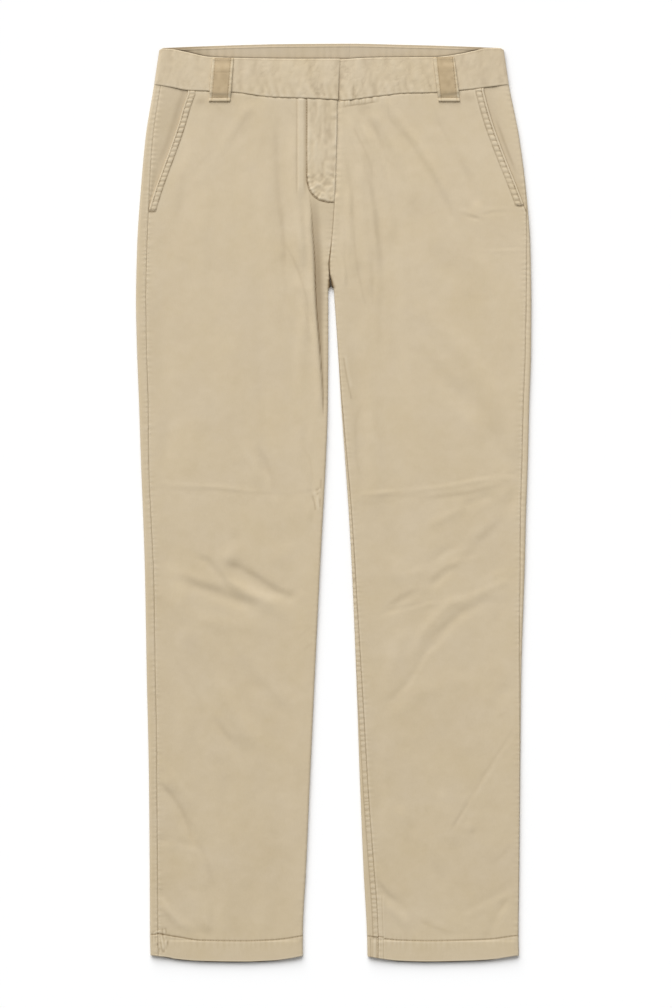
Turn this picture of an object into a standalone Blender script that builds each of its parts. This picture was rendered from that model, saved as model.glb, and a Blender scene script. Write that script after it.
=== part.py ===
"""Chino trousers laid flat on their back, front side up.

Run with:  blender --background --python part.py

The two legs are flattened tubes of cloth. Each piece that is cut and sewn is an
object of its own: two fronts, two backs that turn round the leg edges to the
outseams, a waistband in two halves with its facing, the pocket bearers under the
slanted pocket openings, and two belt loops on the front.

Units are metres, +Z up. X runs across (the wearer's right is -X), Y runs from the
hems up to the waist, and the garment rests on Z = 0 with the origin under its
middle. Heights in the tables are measured up from the lowest point of the hems.
"""

import math

import bmesh
import bpy
import numpy as np

# ---------------------------------------------------------------- driving sizes

LENGTH = 1.0231            # hem to the top of the waistband at the centre back
CROTCH = 0.752             # height of the crotch point
BAND_SIDE = 0.977          # height of the waistband seam at the side folds
BAND_CORNER = 1.018        # height of the band's top edge there

WALL = 0.0012              # cloth of the legs
BAND_WALL = 0.0018         # waistband, two layers of cloth and a stiffener
FACING_WALL = 0.0010       # inner facing of the waistband
BEARER_WALL = 0.0010       # pocket bearer
LOOP_WALL = 0.0015         # folded belt loop strip
SEAM_GAP = 0.0003          # between neighbouring pieces

BAND_THICKNESS = 0.0066    # laid waistband, back layer and front layer together
BAND_PILLOW = 0.0003       # how far the middle of the band stands above its edges
FACING_TOP = 0.0035        # facing edge below the top of the back band
FACING_DEPTH = 0.0340
FACING_SIDE = 0.0160       # facing stops this far inside the side folds

SAG = 0.0008               # the front lies this much lower away from its edges
SAG_REACH = 0.030          # distance over which it settles
SAG_TOP = (0.925, 0.970)   # heights between which the sag dies out under the band
LAP_JOIN = 0.080           # above the crotch, where the inner edges' hold on the front ends
ROLL_LENGTH = 0.030        # above the crotch, where the centre seam turns down

HEM_DEPTH = 0.0232         # turned hem, top of it is the hem stitch
HEM_RISE_FADE = 0.120      # height over which the bow of the hem dies out
HEM_EXTRA = 0.0004         # the turned hem is thicker
HEM_STEP = 0.0020          # height over which that thickness ends
HEM_EDGE = 0.0040          # and the width over which it ends at the leg edges

FLY_STITCH = -0.0300       # across place of the straight run of the J stitch
FLY_CURVE_TOP = 0.8790     # the J starts to bend here
FLY_BOTTOM = 0.8461        # lowest point of the J
FLY_POWER = 2.6            # squareness of the J's bend
FLY_EXTRA = 0.0006         # the fly facing makes the right front thicker
STITCH_STEP = 0.0030       # width over which that thickness begins at the stitch
UNDERLAP = 0.0120          # left front under the fly edge
UNDERLAP_START = 0.850
UNDERLAP_DOWN = 0.858      # the left front has dropped under the fly here
UNDERLAP_FULL = 0.876
UNDERLAP_DROP = 0.0011
UNDERLAP_RAMP = 0.0050     # width over which it drops
UNDERLAP_CLEAR = 0.0060    # where it has risen again, past the fly edge

TAB_RISE = 0.0008          # right end of the band over the left end
TAB_DROP = 0.0013          # left end of the band under it
TAB_LENGTH = 0.0300
TAB_RAMP = 0.0140
BAND_DROP_START = 0.868    # above this the rows bend to follow the waistband seam

THIGH_DROP = 0.0016        # cloth beside the crotch lies under the inner thigh fold
THIGH_STEP = 0.0030        # width of that step

LIP_WIDTH = 0.0075         # turned and stitched edge of the pocket opening
LIP_RISE = 0.0006
LIP_STEP = 0.0020
BEARER_DROP = 0.0011       # bearer below the surface at the pocket opening
BEARER_UNDER = 0.0016      # and further in, under the front
BEARER_SETTLE = 0.0080     # distance in at which it has that depth
BEARER_REACH = 0.0250      # bearer runs this far under the front
POCKET_END = 0.8420        # lower end of the pocket opening

LOOP_WIDTH = 0.0240
LOOP_GAP = 0.0016          # room for a belt
LOOP_END = 0.16            # share of the loop's length that it takes to rise at each end
LOOP_SEWN = 0.6            # of that, the share that is sewn down flat
LOOP_STEP = 0.0050         # height over which it climbs from the front onto the band

CLOTH = (0.604, 0.503, 0.352, 1.0)         # khaki twill, linear colour
BAND_CLOTH = (0.618, 0.512, 0.363, 1.0)
LOOP_CLOTH = (0.520, 0.407, 0.250, 1.0)
INSIDE_CLOTH = (0.520, 0.429, 0.300, 1.0)
CLOTH_ROUGHNESS = 0.88


class Table:
    """Rows of numbers read as smooth curves that never overshoot a row."""

    def __init__(self, columns, *rows):
        data = np.array(rows, dtype=float)
        self.at = data[:, 0]
        self.column = {name: data[:, k + 1] for k, name in enumerate(columns.split()[1:])}
        self.slope = {name: self.slopes(values) for name, values in self.column.items()}

    def slopes(self, values):
        step = np.diff(self.at)
        rate = np.diff(values) / step
        inner = np.zeros(len(values))
        inner[0], inner[-1] = rate[0], rate[-1]
        for k in range(1, len(values) - 1):
            before, after = rate[k - 1], rate[k]
            if before * after > 0:
                near = 2 * step[k] + step[k - 1]
                far = step[k] + 2 * step[k - 1]
                inner[k] = (near + far) / (near / before + far / after)
        return inner

    def __call__(self, name, place):
        place = min(max(place, self.at[0]), self.at[-1])
        k = min(max(int(np.searchsorted(self.at, place)) - 1, 0), len(self.at) - 2)
        step = self.at[k + 1] - self.at[k]
        t = (place - self.at[k]) / step
        low, high = self.column[name][k], self.column[name][k + 1]
        rise_low, rise_high = self.slope[name][k], self.slope[name][k + 1]
        return (low * (1 + 2 * t) * (1 - t) ** 2 + rise_low * step * t * (1 - t) ** 2
                + high * t * t * (3 - 2 * t) + rise_high * step * t * t * (t - 1))


# Outermost edge of the laid garment.
OUTLINE = Table(
    "height right left",
    (0.000, -0.2040, 0.2065),
    (0.030, -0.2047, 0.2060),
    (0.100, -0.2050, 0.2068),
    (0.200, -0.2058, 0.2077),
    (0.320, -0.2083, 0.2090),
    (0.440, -0.2105, 0.2129),
    (0.500, -0.2125, 0.2144),
    (0.560, -0.2149, 0.2165),
    (0.620, -0.2168, 0.2179),
    (0.680, -0.2191, 0.2199),
    (0.735, -0.2203, 0.2202),
    (0.800, -0.2189, 0.2190),
    (0.860, -0.2149, 0.2143),
    (0.920, -0.2094, 0.2065),
    (0.977, -0.2002, 0.1953),
    (1.000, -0.1968, 0.1919),
    (1.018, -0.1940, 0.1892),
)

# Edge of each leg on the side of the other leg.
INNER_EDGE = Table(
    "height right left",
    (0.000, -0.0343, 0.0378),
    (0.030, -0.0343, 0.0371),
    (0.100, -0.0309, 0.0334),
    (0.200, -0.0265, 0.0293),
    (0.320, -0.0209, 0.0251),
    (0.440, -0.0151, 0.0203),
    (0.500, -0.0118, 0.0170),
    (0.560, -0.0086, 0.0128),
    (0.620, -0.0065, 0.0085),
    (0.680, -0.0056, 0.0047),
    (0.735, -0.0052, 0.0005),
    (0.752, -0.0033, -0.0027),
)

# Where the seams lie, measured round the cloth from the outermost line of the
# leg, forwards onto the front.
SEAM_TURN = Table(
    "height right_outseam left_outseam right_inseam left_inseam",
    (0.000, 0.0103, 0.0010, 0.0000, 0.0139),
    (0.063, 0.0103, 0.0010, 0.0000, 0.0139),
    (0.132, 0.0102, 0.0010, 0.0000, 0.0121),
    (0.192, 0.0102, 0.0011, 0.0000, 0.0102),
    (0.260, 0.0109, 0.0018, 0.0000, 0.0086),
    (0.330, 0.0111, 0.0036, 0.0000, 0.0070),
    (0.410, 0.0112, 0.0060, 0.0000, 0.0053),
    (0.530, 0.0100, 0.0080, 0.0000, 0.0040),
    (0.640, 0.0119, 0.0082, 0.0000, 0.0020),
    (0.752, 0.0126, 0.0070, 0.0000, 0.0000),
    (0.819, 0.0124, 0.0046, 0.0000, 0.0000),
    (0.860, 0.0112, 0.0020, 0.0000, 0.0000),
    (0.900, 0.0102, 0.0012, 0.0000, 0.0000),
    (0.977, 0.0090, 0.0010, 0.0000, 0.0000),
)

# Centre seams; above the fly's end the front column is the fly edge.
CENTRE = Table(
    "height front back",
    (0.7520, -0.0030, -0.0030),
    (0.7765, -0.0050, -0.0018),
    (0.7921, -0.0035, -0.0010),
    (0.8166, -0.0010, 0.0012),
    (0.8467, 0.0008, 0.0040),
    (0.9003, 0.0029, 0.0087),
    (0.9560, 0.0039, 0.0136),
    (1.0231, 0.0070, 0.0195),
)

# Free edge of the front at the slanted pocket opening.
POCKET_EDGE = Table(
    "height right left",
    (0.8385, -0.2043, 0.2158),
    (0.8487, -0.2010, 0.2120),
    (0.8967, -0.1856, 0.1914),
    (0.9430, -0.1707, 0.1737),
    (0.9732, -0.1610, 0.1675),
)

# Edge of the fold that runs from the fly's J down the right inner thigh.
THIGH_FOLD = Table(
    "height edge strength",
    (0.000, -0.0480, 0.0),
    (0.320, -0.0345, 0.0),
    (0.560, -0.0165, 0.0),
    (0.6025, -0.0125, 0.0),
    (0.630, -0.0130, 0.7),
    (0.683, -0.0164, 1.0),
    (0.734, -0.0205, 1.0),
    (0.792, -0.0227, 1.0),
    (0.815, -0.0244, 0.9),
    (0.835, -0.0256, 0.4),
    (0.850, -0.0275, 0.0),
    (0.880, -0.0300, 0.0),
    (0.977, -0.0300, 0.0),
)

# Thickness of the laid garment, both layers and the air between them.
THICKNESS = Table(
    "height laid",
    (0.000, 0.0052),
    (0.600, 0.0052),
    (0.752, 0.0056),
    (0.900, 0.0060),
    (0.977, 0.0060),
)

# How far the hem rises above its lowest point, across each leg from the outer edge.
HEM_RISE = Table(
    "across right left",
    (0.00, 0.0072, 0.0072),
    (0.11, 0.0050, 0.0042),
    (0.16, 0.0032, 0.0028),
    (0.34, 0.0007, 0.0010),
    (0.60, 0.0000, 0.0001),
    (0.80, 0.0012, 0.0010),
    (0.89, 0.0030, 0.0028),
    (1.00, 0.0065, 0.0058),
)

# Front half of the waistband, across from the centre front.
BAND_RIGHT = Table(
    "across top seam",
    (-0.2002, 1.0180, 0.9770),
    (-0.1800, 1.0166, 0.9740),
    (-0.1625, 1.0132, 0.9707),
    (-0.1370, 1.0081, 0.9697),
    (-0.1110, 1.0070, 0.9685),
    (-0.0690, 1.0062, 0.9632),
    (-0.0300, 1.0060, 0.9618),
    (0.0070, 1.0060, 0.9600),
)
BAND_LEFT = Table(
    "across top seam",
    (-0.0300, 1.0040, 0.9620),
    (0.0020, 1.0045, 0.9618),
    (0.0060, 1.0050, 0.9592),
    (0.0470, 1.0073, 0.9638),
    (0.0810, 1.0076, 0.9674),
    (0.1100, 1.0078, 0.9680),
    (0.1420, 1.0118, 0.9708),
    (0.1570, 1.0150, 0.9723),
    (0.1700, 1.0177, 0.9740),
    (0.1953, 1.0180, 0.9770),
)
BAND_BACK = Table(
    "across top seam",
    (-0.2002, 1.0178, 0.9770),
    (-0.1490, 1.0200, 0.9800),
    (-0.1045, 1.0215, 0.9820),
    (-0.0600, 1.0226, 0.9833),
    (0.0000, 1.0230, 0.9840),
    (0.0195, 1.0231, 0.9840),
    (0.0740, 1.0219, 0.9828),
    (0.1185, 1.0208, 0.9812),
    (0.1953, 1.0178, 0.9770),
)
BAND_CORNER_DROP = 0.0080   # the top edge dips where the band turns round the side

# Largest folds of the front: a line of (across, height) points, the half width
# of the fold, and how far it rises (or sinks, below zero).
FOLDS = (
    dict(name="right knee, lower trough", line=((-0.164, 0.425), (-0.082, 0.400)), half=0.012, rise=-0.0012),
    dict(name="right knee, upper trough", line=((-0.119, 0.446), (-0.052, 0.412)), half=0.009, rise=-0.0010),
    dict(name="right knee, short trough", line=((-0.149, 0.451), (-0.112, 0.418)), half=0.007, rise=-0.0006),
    dict(name="right knee, ridge", line=((-0.108, 0.429), (-0.075, 0.407)), half=0.009, rise=0.0017),
    dict(name="right knee, soft swell", line=((-0.182, 0.433), (-0.141, 0.351)), half=0.022, rise=0.0012),
    dict(name="right knee, press line", line=((-0.197, 0.534), (-0.090, 0.528), (-0.015, 0.527)),
         half=0.006, rise=0.0006),
    dict(name="right knee, press trough", line=((-0.190, 0.523), (-0.090, 0.518), (-0.015, 0.518)),
         half=0.006, rise=-0.0005),
    dict(name="left knee, press line", line=((0.024, 0.527), (0.107, 0.528), (0.189, 0.540)),
         half=0.006, rise=0.0006),
    dict(name="left knee, press trough", line=((0.024, 0.518), (0.107, 0.518), (0.180, 0.529)),
         half=0.006, rise=-0.0005),
    dict(name="left knee, upper trough", line=((0.137, 0.444), (0.107, 0.422), (0.066, 0.3955)),
         half=0.010, rise=-0.0012),
    dict(name="left knee, long trough", line=((0.189, 0.414), (0.133, 0.384), (0.096, 0.351), (0.081, 0.322)),
         half=0.011, rise=-0.0012),
    dict(name="left knee, ridge", line=((0.170, 0.425), (0.120, 0.402), (0.088, 0.372)), half=0.010, rise=0.0010),
    dict(name="left knee, lower trough", line=((0.088, 0.333), (0.066, 0.299)), half=0.009, rise=-0.0008),
    dict(name="left knee, high trough", line=((0.115, 0.489), (0.163, 0.5145)), half=0.012, rise=-0.0006),
    dict(name="right shin swell", line=((-0.190, 0.1945), (-0.160, 0.158), (-0.138, 0.113)),
         half=0.016, rise=0.0010),
    dict(name="right hem trough", line=((-0.190, 0.072), (-0.149, 0.035)), half=0.010, rise=-0.0008),
    dict(name="left shin crease", line=((0.204, 0.266), (0.133, 0.154)), half=0.008, rise=-0.0008),
    dict(name="left hem trough, inner", line=((0.055, 0.083), (0.081, 0.035)), half=0.010, rise=-0.0008),
    dict(name="left hem trough, outer", line=((0.200, 0.080), (0.171, 0.043)), half=0.010, rise=-0.0008),
    dict(name="left hip, short trough", line=((0.037, 0.927), (0.059, 0.882)), half=0.010, rise=-0.0008),
    dict(name="left hip, long trough", line=((0.081, 0.9195), (0.122, 0.871), (0.148, 0.838)),
         half=0.014, rise=-0.0009),
    dict(name="left lap trough", line=((0.044, 0.860), (0.055, 0.779)), half=0.012, rise=-0.0007),
    dict(name="left thigh trough", line=((0.018, 0.801), (0.044, 0.712)), half=0.014, rise=-0.0008),
    dict(name="right lap swell", line=((-0.060, 0.890), (-0.049, 0.779), (-0.036, 0.763)),
         half=0.012, rise=0.0008),
    dict(name="ridge beside the fly", line=((-0.0375, 0.958), (-0.0370, 0.880)), half=0.005, rise=0.0007),
)

# Belt loops: middle of the upper and lower end, across and height.
LOOPS = {
    "right": dict(top=(-0.1232, 1.0068), bottom=(-0.1271, 0.9582)),
    "left": dict(top=(0.1223, 1.0076), bottom=(0.1288, 0.9582)),
}

# Rows of the leg pieces, as heights at the side folds.
ROWS = (0.0, 0.0215, 0.0245, 0.045, 0.075, 0.105, 0.135, 0.165, 0.195, 0.225, 0.255, 0.285,
        0.310, 0.330, 0.350, 0.370, 0.388, 0.404, 0.420, 0.436, 0.452, 0.475, 0.500, 0.517,
        0.528, 0.538, 0.560, 0.590, 0.620, 0.650, 0.680, 0.710, 0.735, 0.752, 0.760, 0.770,
        0.785, 0.803, 0.822, 0.842, 0.850, 0.858, 0.867, 0.876, 0.888, 0.904, 0.926, 0.950, 0.977)
BEARER_ROWS = (0.846, 0.858, 0.872, 0.888, 0.904, 0.926, 0.950, BAND_SIDE)
LADDER = (0.0, 0.0016, 0.0032, 0.0050, 0.0085)   # columns beside a seam, round the cloth
ARC_COLUMNS = 5                                  # quads round a folded edge
FRONT_COLUMNS = 8                                # quads over the broad part of a front
BACK_COLUMNS = 2                                 # quads over the flat underside
LOOP_ROWS = 14

SIDE = {"right": -1, "left": 1}                  # which way each half lies from the centre


# ---------------------------------------------------------------- helpers

def smooth(value):
    """Ease from 0 to 1 while value goes from 0 to 1."""
    value = min(max(value, 0.0), 1.0)
    return value * value * (3 - 2 * value)


def mix(low, high, share):
    return low + (high - low) * share


def distance_to_line(x, y, line):
    """Shortest way from a point to a bent line."""
    best = 1e9
    for (x0, y0), (x1, y1) in zip(line, line[1:]):
        dx, dy = x1 - x0, y1 - y0
        t = ((x - x0) * dx + (y - y0) * dy) / (dx * dx + dy * dy)
        t = min(max(t, 0.0), 1.0)
        best = min(best, math.hypot(x - x0 - t * dx, y - y0 - t * dy))
    return best


# ---------------------------------------------------------------- the laid form

def edge_thickness(half, edge, height):
    """Thickness of the laid garment at one of its folded edges."""
    laid = THICKNESS("laid", height)
    if half == "right" and edge == "inner":
        laid -= THIGH_DROP * THIGH_FOLD("strength", height)
    return laid


def fly_line(height):
    """Across place of the J stitch at a height."""
    down = min(max((FLY_CURVE_TOP - height) / (FLY_CURVE_TOP - FLY_BOTTOM), 0.0), 1.0)
    return mix(CENTRE("front", height), FLY_STITCH, (1 - down ** FLY_POWER) ** (1 / FLY_POWER))


def front_height(half, x, height):
    """Outer surface of the upper layer: how high it stands over the floor."""
    laid = THICKNESS("laid", height)
    outer = abs(OUTLINE(half, height)) - abs(x) - laid / 2
    if height < CROTCH:
        inner = abs(x - INNER_EDGE(half, height)) - laid / 2
        inner_fade = smooth(inner / SAG_REACH)
    else:
        inner = abs(x - CENTRE("front", height)) - laid / 2
        inner_fade = mix(smooth(inner / SAG_REACH), 1.0, smooth((height - CROTCH) / LAP_JOIN))
    fade = smooth(outer / SAG_REACH) * inner_fade
    folds = sum(fold["rise"] * math.exp(-(distance_to_line(x, height, fold["line"]) / fold["half"]) ** 2)
                for fold in FOLDS)
    flat_top = 1 - smooth((height - SAG_TOP[0]) / (SAG_TOP[1] - SAG_TOP[0]))
    level = laid + fade * (folds - SAG * flat_top)
    hem_fade = smooth(outer / HEM_EDGE) * smooth(inner / HEM_EDGE)
    level += HEM_EXTRA * hem_fade * smooth((HEM_DEPTH - height) / HEM_STEP + 0.5)
    if half == "right":
        step = smooth((x - THIGH_FOLD("edge", height)) / THIGH_STEP + 0.5)
        level -= THIGH_DROP * THIGH_FOLD("strength", height) * step
        if height > FLY_BOTTOM:
            level += FLY_EXTRA * smooth((x - fly_line(height)) / STITCH_STEP + 0.5)
    else:
        down = smooth((height - UNDERLAP_START) / (UNDERLAP_DOWN - UNDERLAP_START))
        level -= UNDERLAP_DROP * down * smooth((CENTRE("front", height) + UNDERLAP_CLEAR - x) / UNDERLAP_RAMP)
    return level


def pocket_lip(half, x, height):
    """Extra height of the turned edge at the pocket opening."""
    if height < POCKET_END:
        return 0.0
    inside = abs(POCKET_EDGE(half, height)) - abs(x)
    return LIP_RISE * smooth((LIP_WIDTH - inside) / LIP_STEP + 0.5)


def round_edge(half, edge, height, turn):
    """Point of the closed leg tube, turn metres round the cloth from its outermost line.

    Gives x, z and the lean of the surface: the angle of its outward side from
    straight up, towards +X.
    """
    if edge == "outer":
        outermost, out = OUTLINE(half, height), SIDE[half]
    else:
        outermost, out = INNER_EDGE(half, height), -SIDE[half]
    radius = edge_thickness(half, edge, height) / 2
    quarter = math.pi * radius / 2
    if abs(turn) <= quarter:
        angle = turn / radius
        x = outermost - out * radius * (1 - math.cos(angle))
        return x, radius * (1 + math.sin(angle)), out * (math.pi / 2 - angle)
    x = outermost - out * (radius + abs(turn) - quarter)
    if turn > 0:
        return x, front_height(half, x, height), 0.0
    return x, 0.0, math.pi


def centre_roll(half, layer, height, away):
    """Point near a centre seam, where both layers turn towards each other at the crotch."""
    angle = math.pi / 2 * (1 - smooth((height - CROTCH) / ROLL_LENGTH))
    radius = edge_thickness(half, "inner", height) / 2
    left = max(angle - away / radius, 0.0) if away > 0 else angle
    out = radius * (math.sin(angle) - math.sin(left)) + max(away - radius * angle, 0.0) + min(away, 0.0)
    turn = radius * (1 - math.cos(left))
    x = CENTRE(layer, height) + SIDE[half] * out
    if layer == "front":
        return x, front_height(half, x, height) - turn, -SIDE[half] * left
    return x, turn, -SIDE[half] * (math.pi - left)


def inner_point(half, layer, height, away):
    """Point of the front or back, away metres round the cloth from its inner seam."""
    if height >= CROTCH:
        return centre_roll(half, layer, height, away)
    seam = SEAM_TURN(half + "_inseam", height)
    return round_edge(half, "inner", height, seam + away if layer == "front" else seam - away)


def outer_point(half, row, turn):
    """Point of a row at the outer fold: x, height, z and lean."""
    out = SIDE[half]
    radius = edge_thickness(half, "outer", row) / 2
    quarter = math.pi * radius / 2
    start = OUTLINE(half, row) - out * radius
    if turn >= quarter:
        height = front_row_height(half, start - out * (turn - quarter), row)
    else:
        share = min((quarter - turn) / (2 * quarter), 1.0)
        height = mix(front_row_height(half, start, row), back_row_height(half, start, row), share)
    x, z, lean = round_edge(half, "outer", height, turn)
    return x, height, z, lean


def outer_seam(half, height):
    """Outer edge of the front: the outseam, or the pocket opening above its end."""
    turn = SEAM_TURN(half + "_outseam", height)
    if height > POCKET_END - 0.004:
        radius = edge_thickness(half, "outer", height) / 2
        inset = abs(OUTLINE(half, height)) - abs(POCKET_EDGE(half, height))
        turn = max(turn, math.pi * radius / 2 + inset - radius)
    return turn


def hem_rise(half, x, height):
    """Bow of the hem, dying out up the leg."""
    outer = OUTLINE(half, 0.0)
    across = (x - outer) / (INNER_EDGE(half, 0.0) - outer)
    return HEM_RISE(half, across) * (1 - smooth(height / HEM_RISE_FADE))


def front_row_height(half, x, row):
    """Height of a row at a place across the front; the last row is the waistband seam."""
    band = BAND_RIGHT if half == "right" else BAND_LEFT
    drop = band("seam", x) - SEAM_GAP / 2 - BAND_SIDE
    return row + hem_rise(half, x, row) + drop * smooth((row - BAND_DROP_START) / (BAND_SIDE - BAND_DROP_START))


def back_row_height(half, x, row):
    drop = BAND_BACK("seam", x) - SEAM_GAP / 2 - BAND_SIDE
    return row + hem_rise(half, x, row) + drop * smooth((row - BAND_DROP_START) / (BAND_SIDE - BAND_DROP_START))


# ---------------------------------------------------------------- building tools

def clear_scene():
    for item in list(bpy.data.objects):
        bpy.data.objects.remove(item, do_unlink=True)


def cloth_material(name, colour):
    material = bpy.data.materials.new(name)
    material.use_nodes = True
    shader = material.node_tree.nodes["Principled BSDF"]
    shader.inputs["Base Color"].default_value = colour
    shader.inputs["Roughness"].default_value = CLOTH_ROUGHNESS
    shader.inputs["Metallic"].default_value = 0.0
    material.diffuse_color = colour
    return material


def cloth_sheet(name, rows, wall, material, collection):
    """A wall of cloth under rows of surface points, each (x, height, z, lean)."""
    across, up = len(rows[0]) - 1, len(rows) - 1
    sheet = bmesh.new()
    bmesh.ops.create_grid(sheet, x_segments=across, y_segments=up, size=1.0)
    inner = {}
    for vertex in sheet.verts:
        column = round((vertex.co.x + 1) / 2 * across)
        row = round((vertex.co.y + 1) / 2 * up)
        x, height, z, lean = rows[row][column]
        vertex.co = (x, height - LENGTH / 2, z)
        inner[vertex.co.to_tuple(7)] = (x - wall * math.sin(lean), height - LENGTH / 2,
                                        z - wall * math.cos(lean))
    grown = bmesh.ops.extrude_face_region(sheet, geom=sheet.faces[:], use_keep_orig=True)
    for item in grown["geom"]:
        if isinstance(item, bmesh.types.BMVert):
            item.co = inner[item.co.to_tuple(7)]
    bmesh.ops.recalc_face_normals(sheet, faces=sheet.faces[:])
    mesh = bpy.data.meshes.new(name)
    sheet.to_mesh(mesh)
    sheet.free()
    mesh.shade_smooth()
    mesh.set_sharp_from_angle(angle=math.radians(50))
    mesh.materials.append(material)
    piece = bpy.data.objects.new(name, mesh)
    collection.objects.link(piece)
    return piece


# ---------------------------------------------------------------- the pieces

def front_columns(half, row):
    """One row of a front, from the lower X side to the higher."""
    outline_height = outer_point(half, row, 0.0)[1]
    start = outer_seam(half, outline_height) + SEAM_GAP / 2
    outer = [outer_point(half, row, start + step) for step in LADDER]

    inner_x = INNER_EDGE(half, row) if row < CROTCH else CENTRE("front", row)
    inner_height = front_row_height(half, inner_x, row)
    start = SEAM_GAP / 2
    if half == "left":
        start -= UNDERLAP * smooth((inner_height - UNDERLAP_DOWN) / (UNDERLAP_FULL - UNDERLAP_DOWN))
    inner = []
    for step in LADDER:
        x, z, lean = inner_point(half, "front", inner_height, start + step)
        inner.append((x, inner_height, z, lean))

    if half == "right":
        fold = THIGH_FOLD("edge", inner_height)
        step_end = min(fold + THIGH_STEP / 2, inner[-1][0] - 0.001)
        step_start = step_end - THIGH_STEP
        middle = list(np.linspace(outer[-1][0], step_start, FRONT_COLUMNS + 1)[1:])
        middle += list(np.linspace(step_end, inner[-1][0], 3)[:-1])
    else:
        seam_x = inner[0][0]
        middle = [seam_x + 0.013]
        middle += list(np.linspace(seam_x + 0.018, outer[-1][0], FRONT_COLUMNS + 2)[:-1])
    body = []
    for x in middle:
        height = front_row_height(half, x, row)
        body.append((x, height, front_height(half, x, height), 0.0))
    columns = outer + body + inner[::-1] if half == "right" else inner + body + outer[::-1]
    return [(x, height, z + pocket_lip(half, x, height), lean) for x, height, z, lean in columns]


def fold_turns(seam, radius):
    """Columns from a seam round a folded edge to the flat underside, as turns round the cloth."""
    quarter = math.pi * radius / 2
    top = min(seam - 0.001, quarter)
    return [seam] + [mix(top, -quarter, k / ARC_COLUMNS) for k in range(ARC_COLUMNS + 1)]


def back_columns(half, row):
    """One row of a back: from the inner seam under the leg, round the outer fold, onto the front."""
    outline_height = outer_point(half, row, 0.0)[1]
    seam = SEAM_TURN(half + "_outseam", outline_height) - SEAM_GAP / 2
    outer = [outer_point(half, row, turn)
             for turn in fold_turns(seam, edge_thickness(half, "outer", outline_height) / 2)]

    inner_x = INNER_EDGE(half, row) if row < CROTCH else CENTRE("back", row)
    inner_height = back_row_height(half, inner_x, row)
    seam = SEAM_TURN(half + "_inseam", inner_height)
    inner = []
    for turn in fold_turns(seam, edge_thickness(half, "inner", inner_height) / 2):
        x, z, lean = inner_point(half, "back", inner_height, seam - turn + SEAM_GAP / 2)
        inner.append((x, inner_height, z, lean))

    flat = [(x, back_row_height(half, x, row), 0.0, math.pi)
            for x in np.linspace(inner[-1][0], outer[-1][0], BACK_COLUMNS + 1)[1:-1]]
    columns = inner + flat + outer[::-1]
    return columns if half == "right" else columns[::-1]


def build_front(half, material, collection):
    rows = [front_columns(half, row) for row in ROWS]
    return cloth_sheet("front_" + half, rows, WALL, material, collection)


def build_back(half, material, collection):
    rows = [back_columns(half, row) for row in ROWS]
    return cloth_sheet("back_" + half, rows, WALL, material, collection)


def band_level(half, x):
    """Outer surface of the front band, with the lap at the centre front."""
    end = CENTRE("front", 1.0)
    if half == "right":
        return BAND_THICKNESS + TAB_RISE * smooth((x - end + TAB_LENGTH + TAB_RAMP) / TAB_RAMP)
    return BAND_THICKNESS - TAB_DROP * smooth((end + 0.0005 + TAB_RAMP - x) / TAB_RAMP)


def build_band(half, material, collection):
    """Half of the waistband, from the centre front round the side fold to the centre back."""
    table = BAND_RIGHT if half == "right" else BAND_LEFT
    out = SIDE[half]
    radius = BAND_THICKNESS / 2
    front_steps = 14 if half == "right" else 16
    back_steps = 6
    rows = []
    for level in (0.0, 0.25, 0.5, 0.75, 1.0):
        pillow = BAND_PILLOW * math.sin(math.pi * level)
        middle = mix(BAND_SIDE, BAND_CORNER, level)
        fold = OUTLINE(half, middle)
        end = CENTRE("front", middle) - (0.0 if half == "right" else TAB_LENGTH)
        row = []
        for k in range(front_steps + 1):
            x = mix(end, fold - out * radius, k / front_steps)
            height = mix(table("seam", x) + SEAM_GAP / 2, table("top", x), level)
            x = mix(end, OUTLINE(half, height) - out * radius, k / front_steps)
            row.append((x, height, band_level(half, x) + pillow, 0.0))
        start = fold - out * radius
        for k in range(1, 2 * ARC_COLUMNS):
            share = k / (2 * ARC_COLUMNS)
            low = mix(table("seam", start), BAND_BACK("seam", start), share) + SEAM_GAP / 2
            top = mix(table("top", start), BAND_BACK("top", start), share)
            top -= BAND_CORNER_DROP * math.sin(math.pi * share)
            height = mix(low, top, level)
            x = OUTLINE(half, height) - out * radius * (1 - math.sin(math.pi * share))
            row.append((x, height, radius * (1 + math.cos(math.pi * share)), out * math.pi * share))
        centre = CENTRE("back", 1.0) + out * SEAM_GAP / 2
        for k in range(back_steps + 1):
            x = mix(fold - out * radius, centre, k / back_steps)
            height = mix(BAND_BACK("seam", x) + SEAM_GAP / 2, BAND_BACK("top", x), level)
            row.append((x, height, 0.0, math.pi))
        rows.append(row if half == "left" else row[::-1])
    return cloth_sheet("waistband_" + half, rows, BAND_WALL, material, collection)


def build_facing(half, material, collection):
    """Inner facing on the back half of the band, seen above the front band."""
    out = SIDE[half]
    surface = BAND_WALL + SEAM_GAP + FACING_WALL
    centre = CENTRE("back", 1.0) + out * SEAM_GAP / 2
    side = OUTLINE(half, 1.0) - out * FACING_SIDE
    steps = 10
    rows = []
    for level in (0.0, 1.0):
        row = []
        for k in range(steps + 1):
            x = mix(centre, side, k / steps)
            top = BAND_BACK("top", x) - FACING_TOP
            row.append((x, top - FACING_DEPTH * (1 - level), surface, 0.0))
        rows.append(row if half == "left" else row[::-1])
    return cloth_sheet("band_facing_" + half, rows, FACING_WALL, material, collection)


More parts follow.
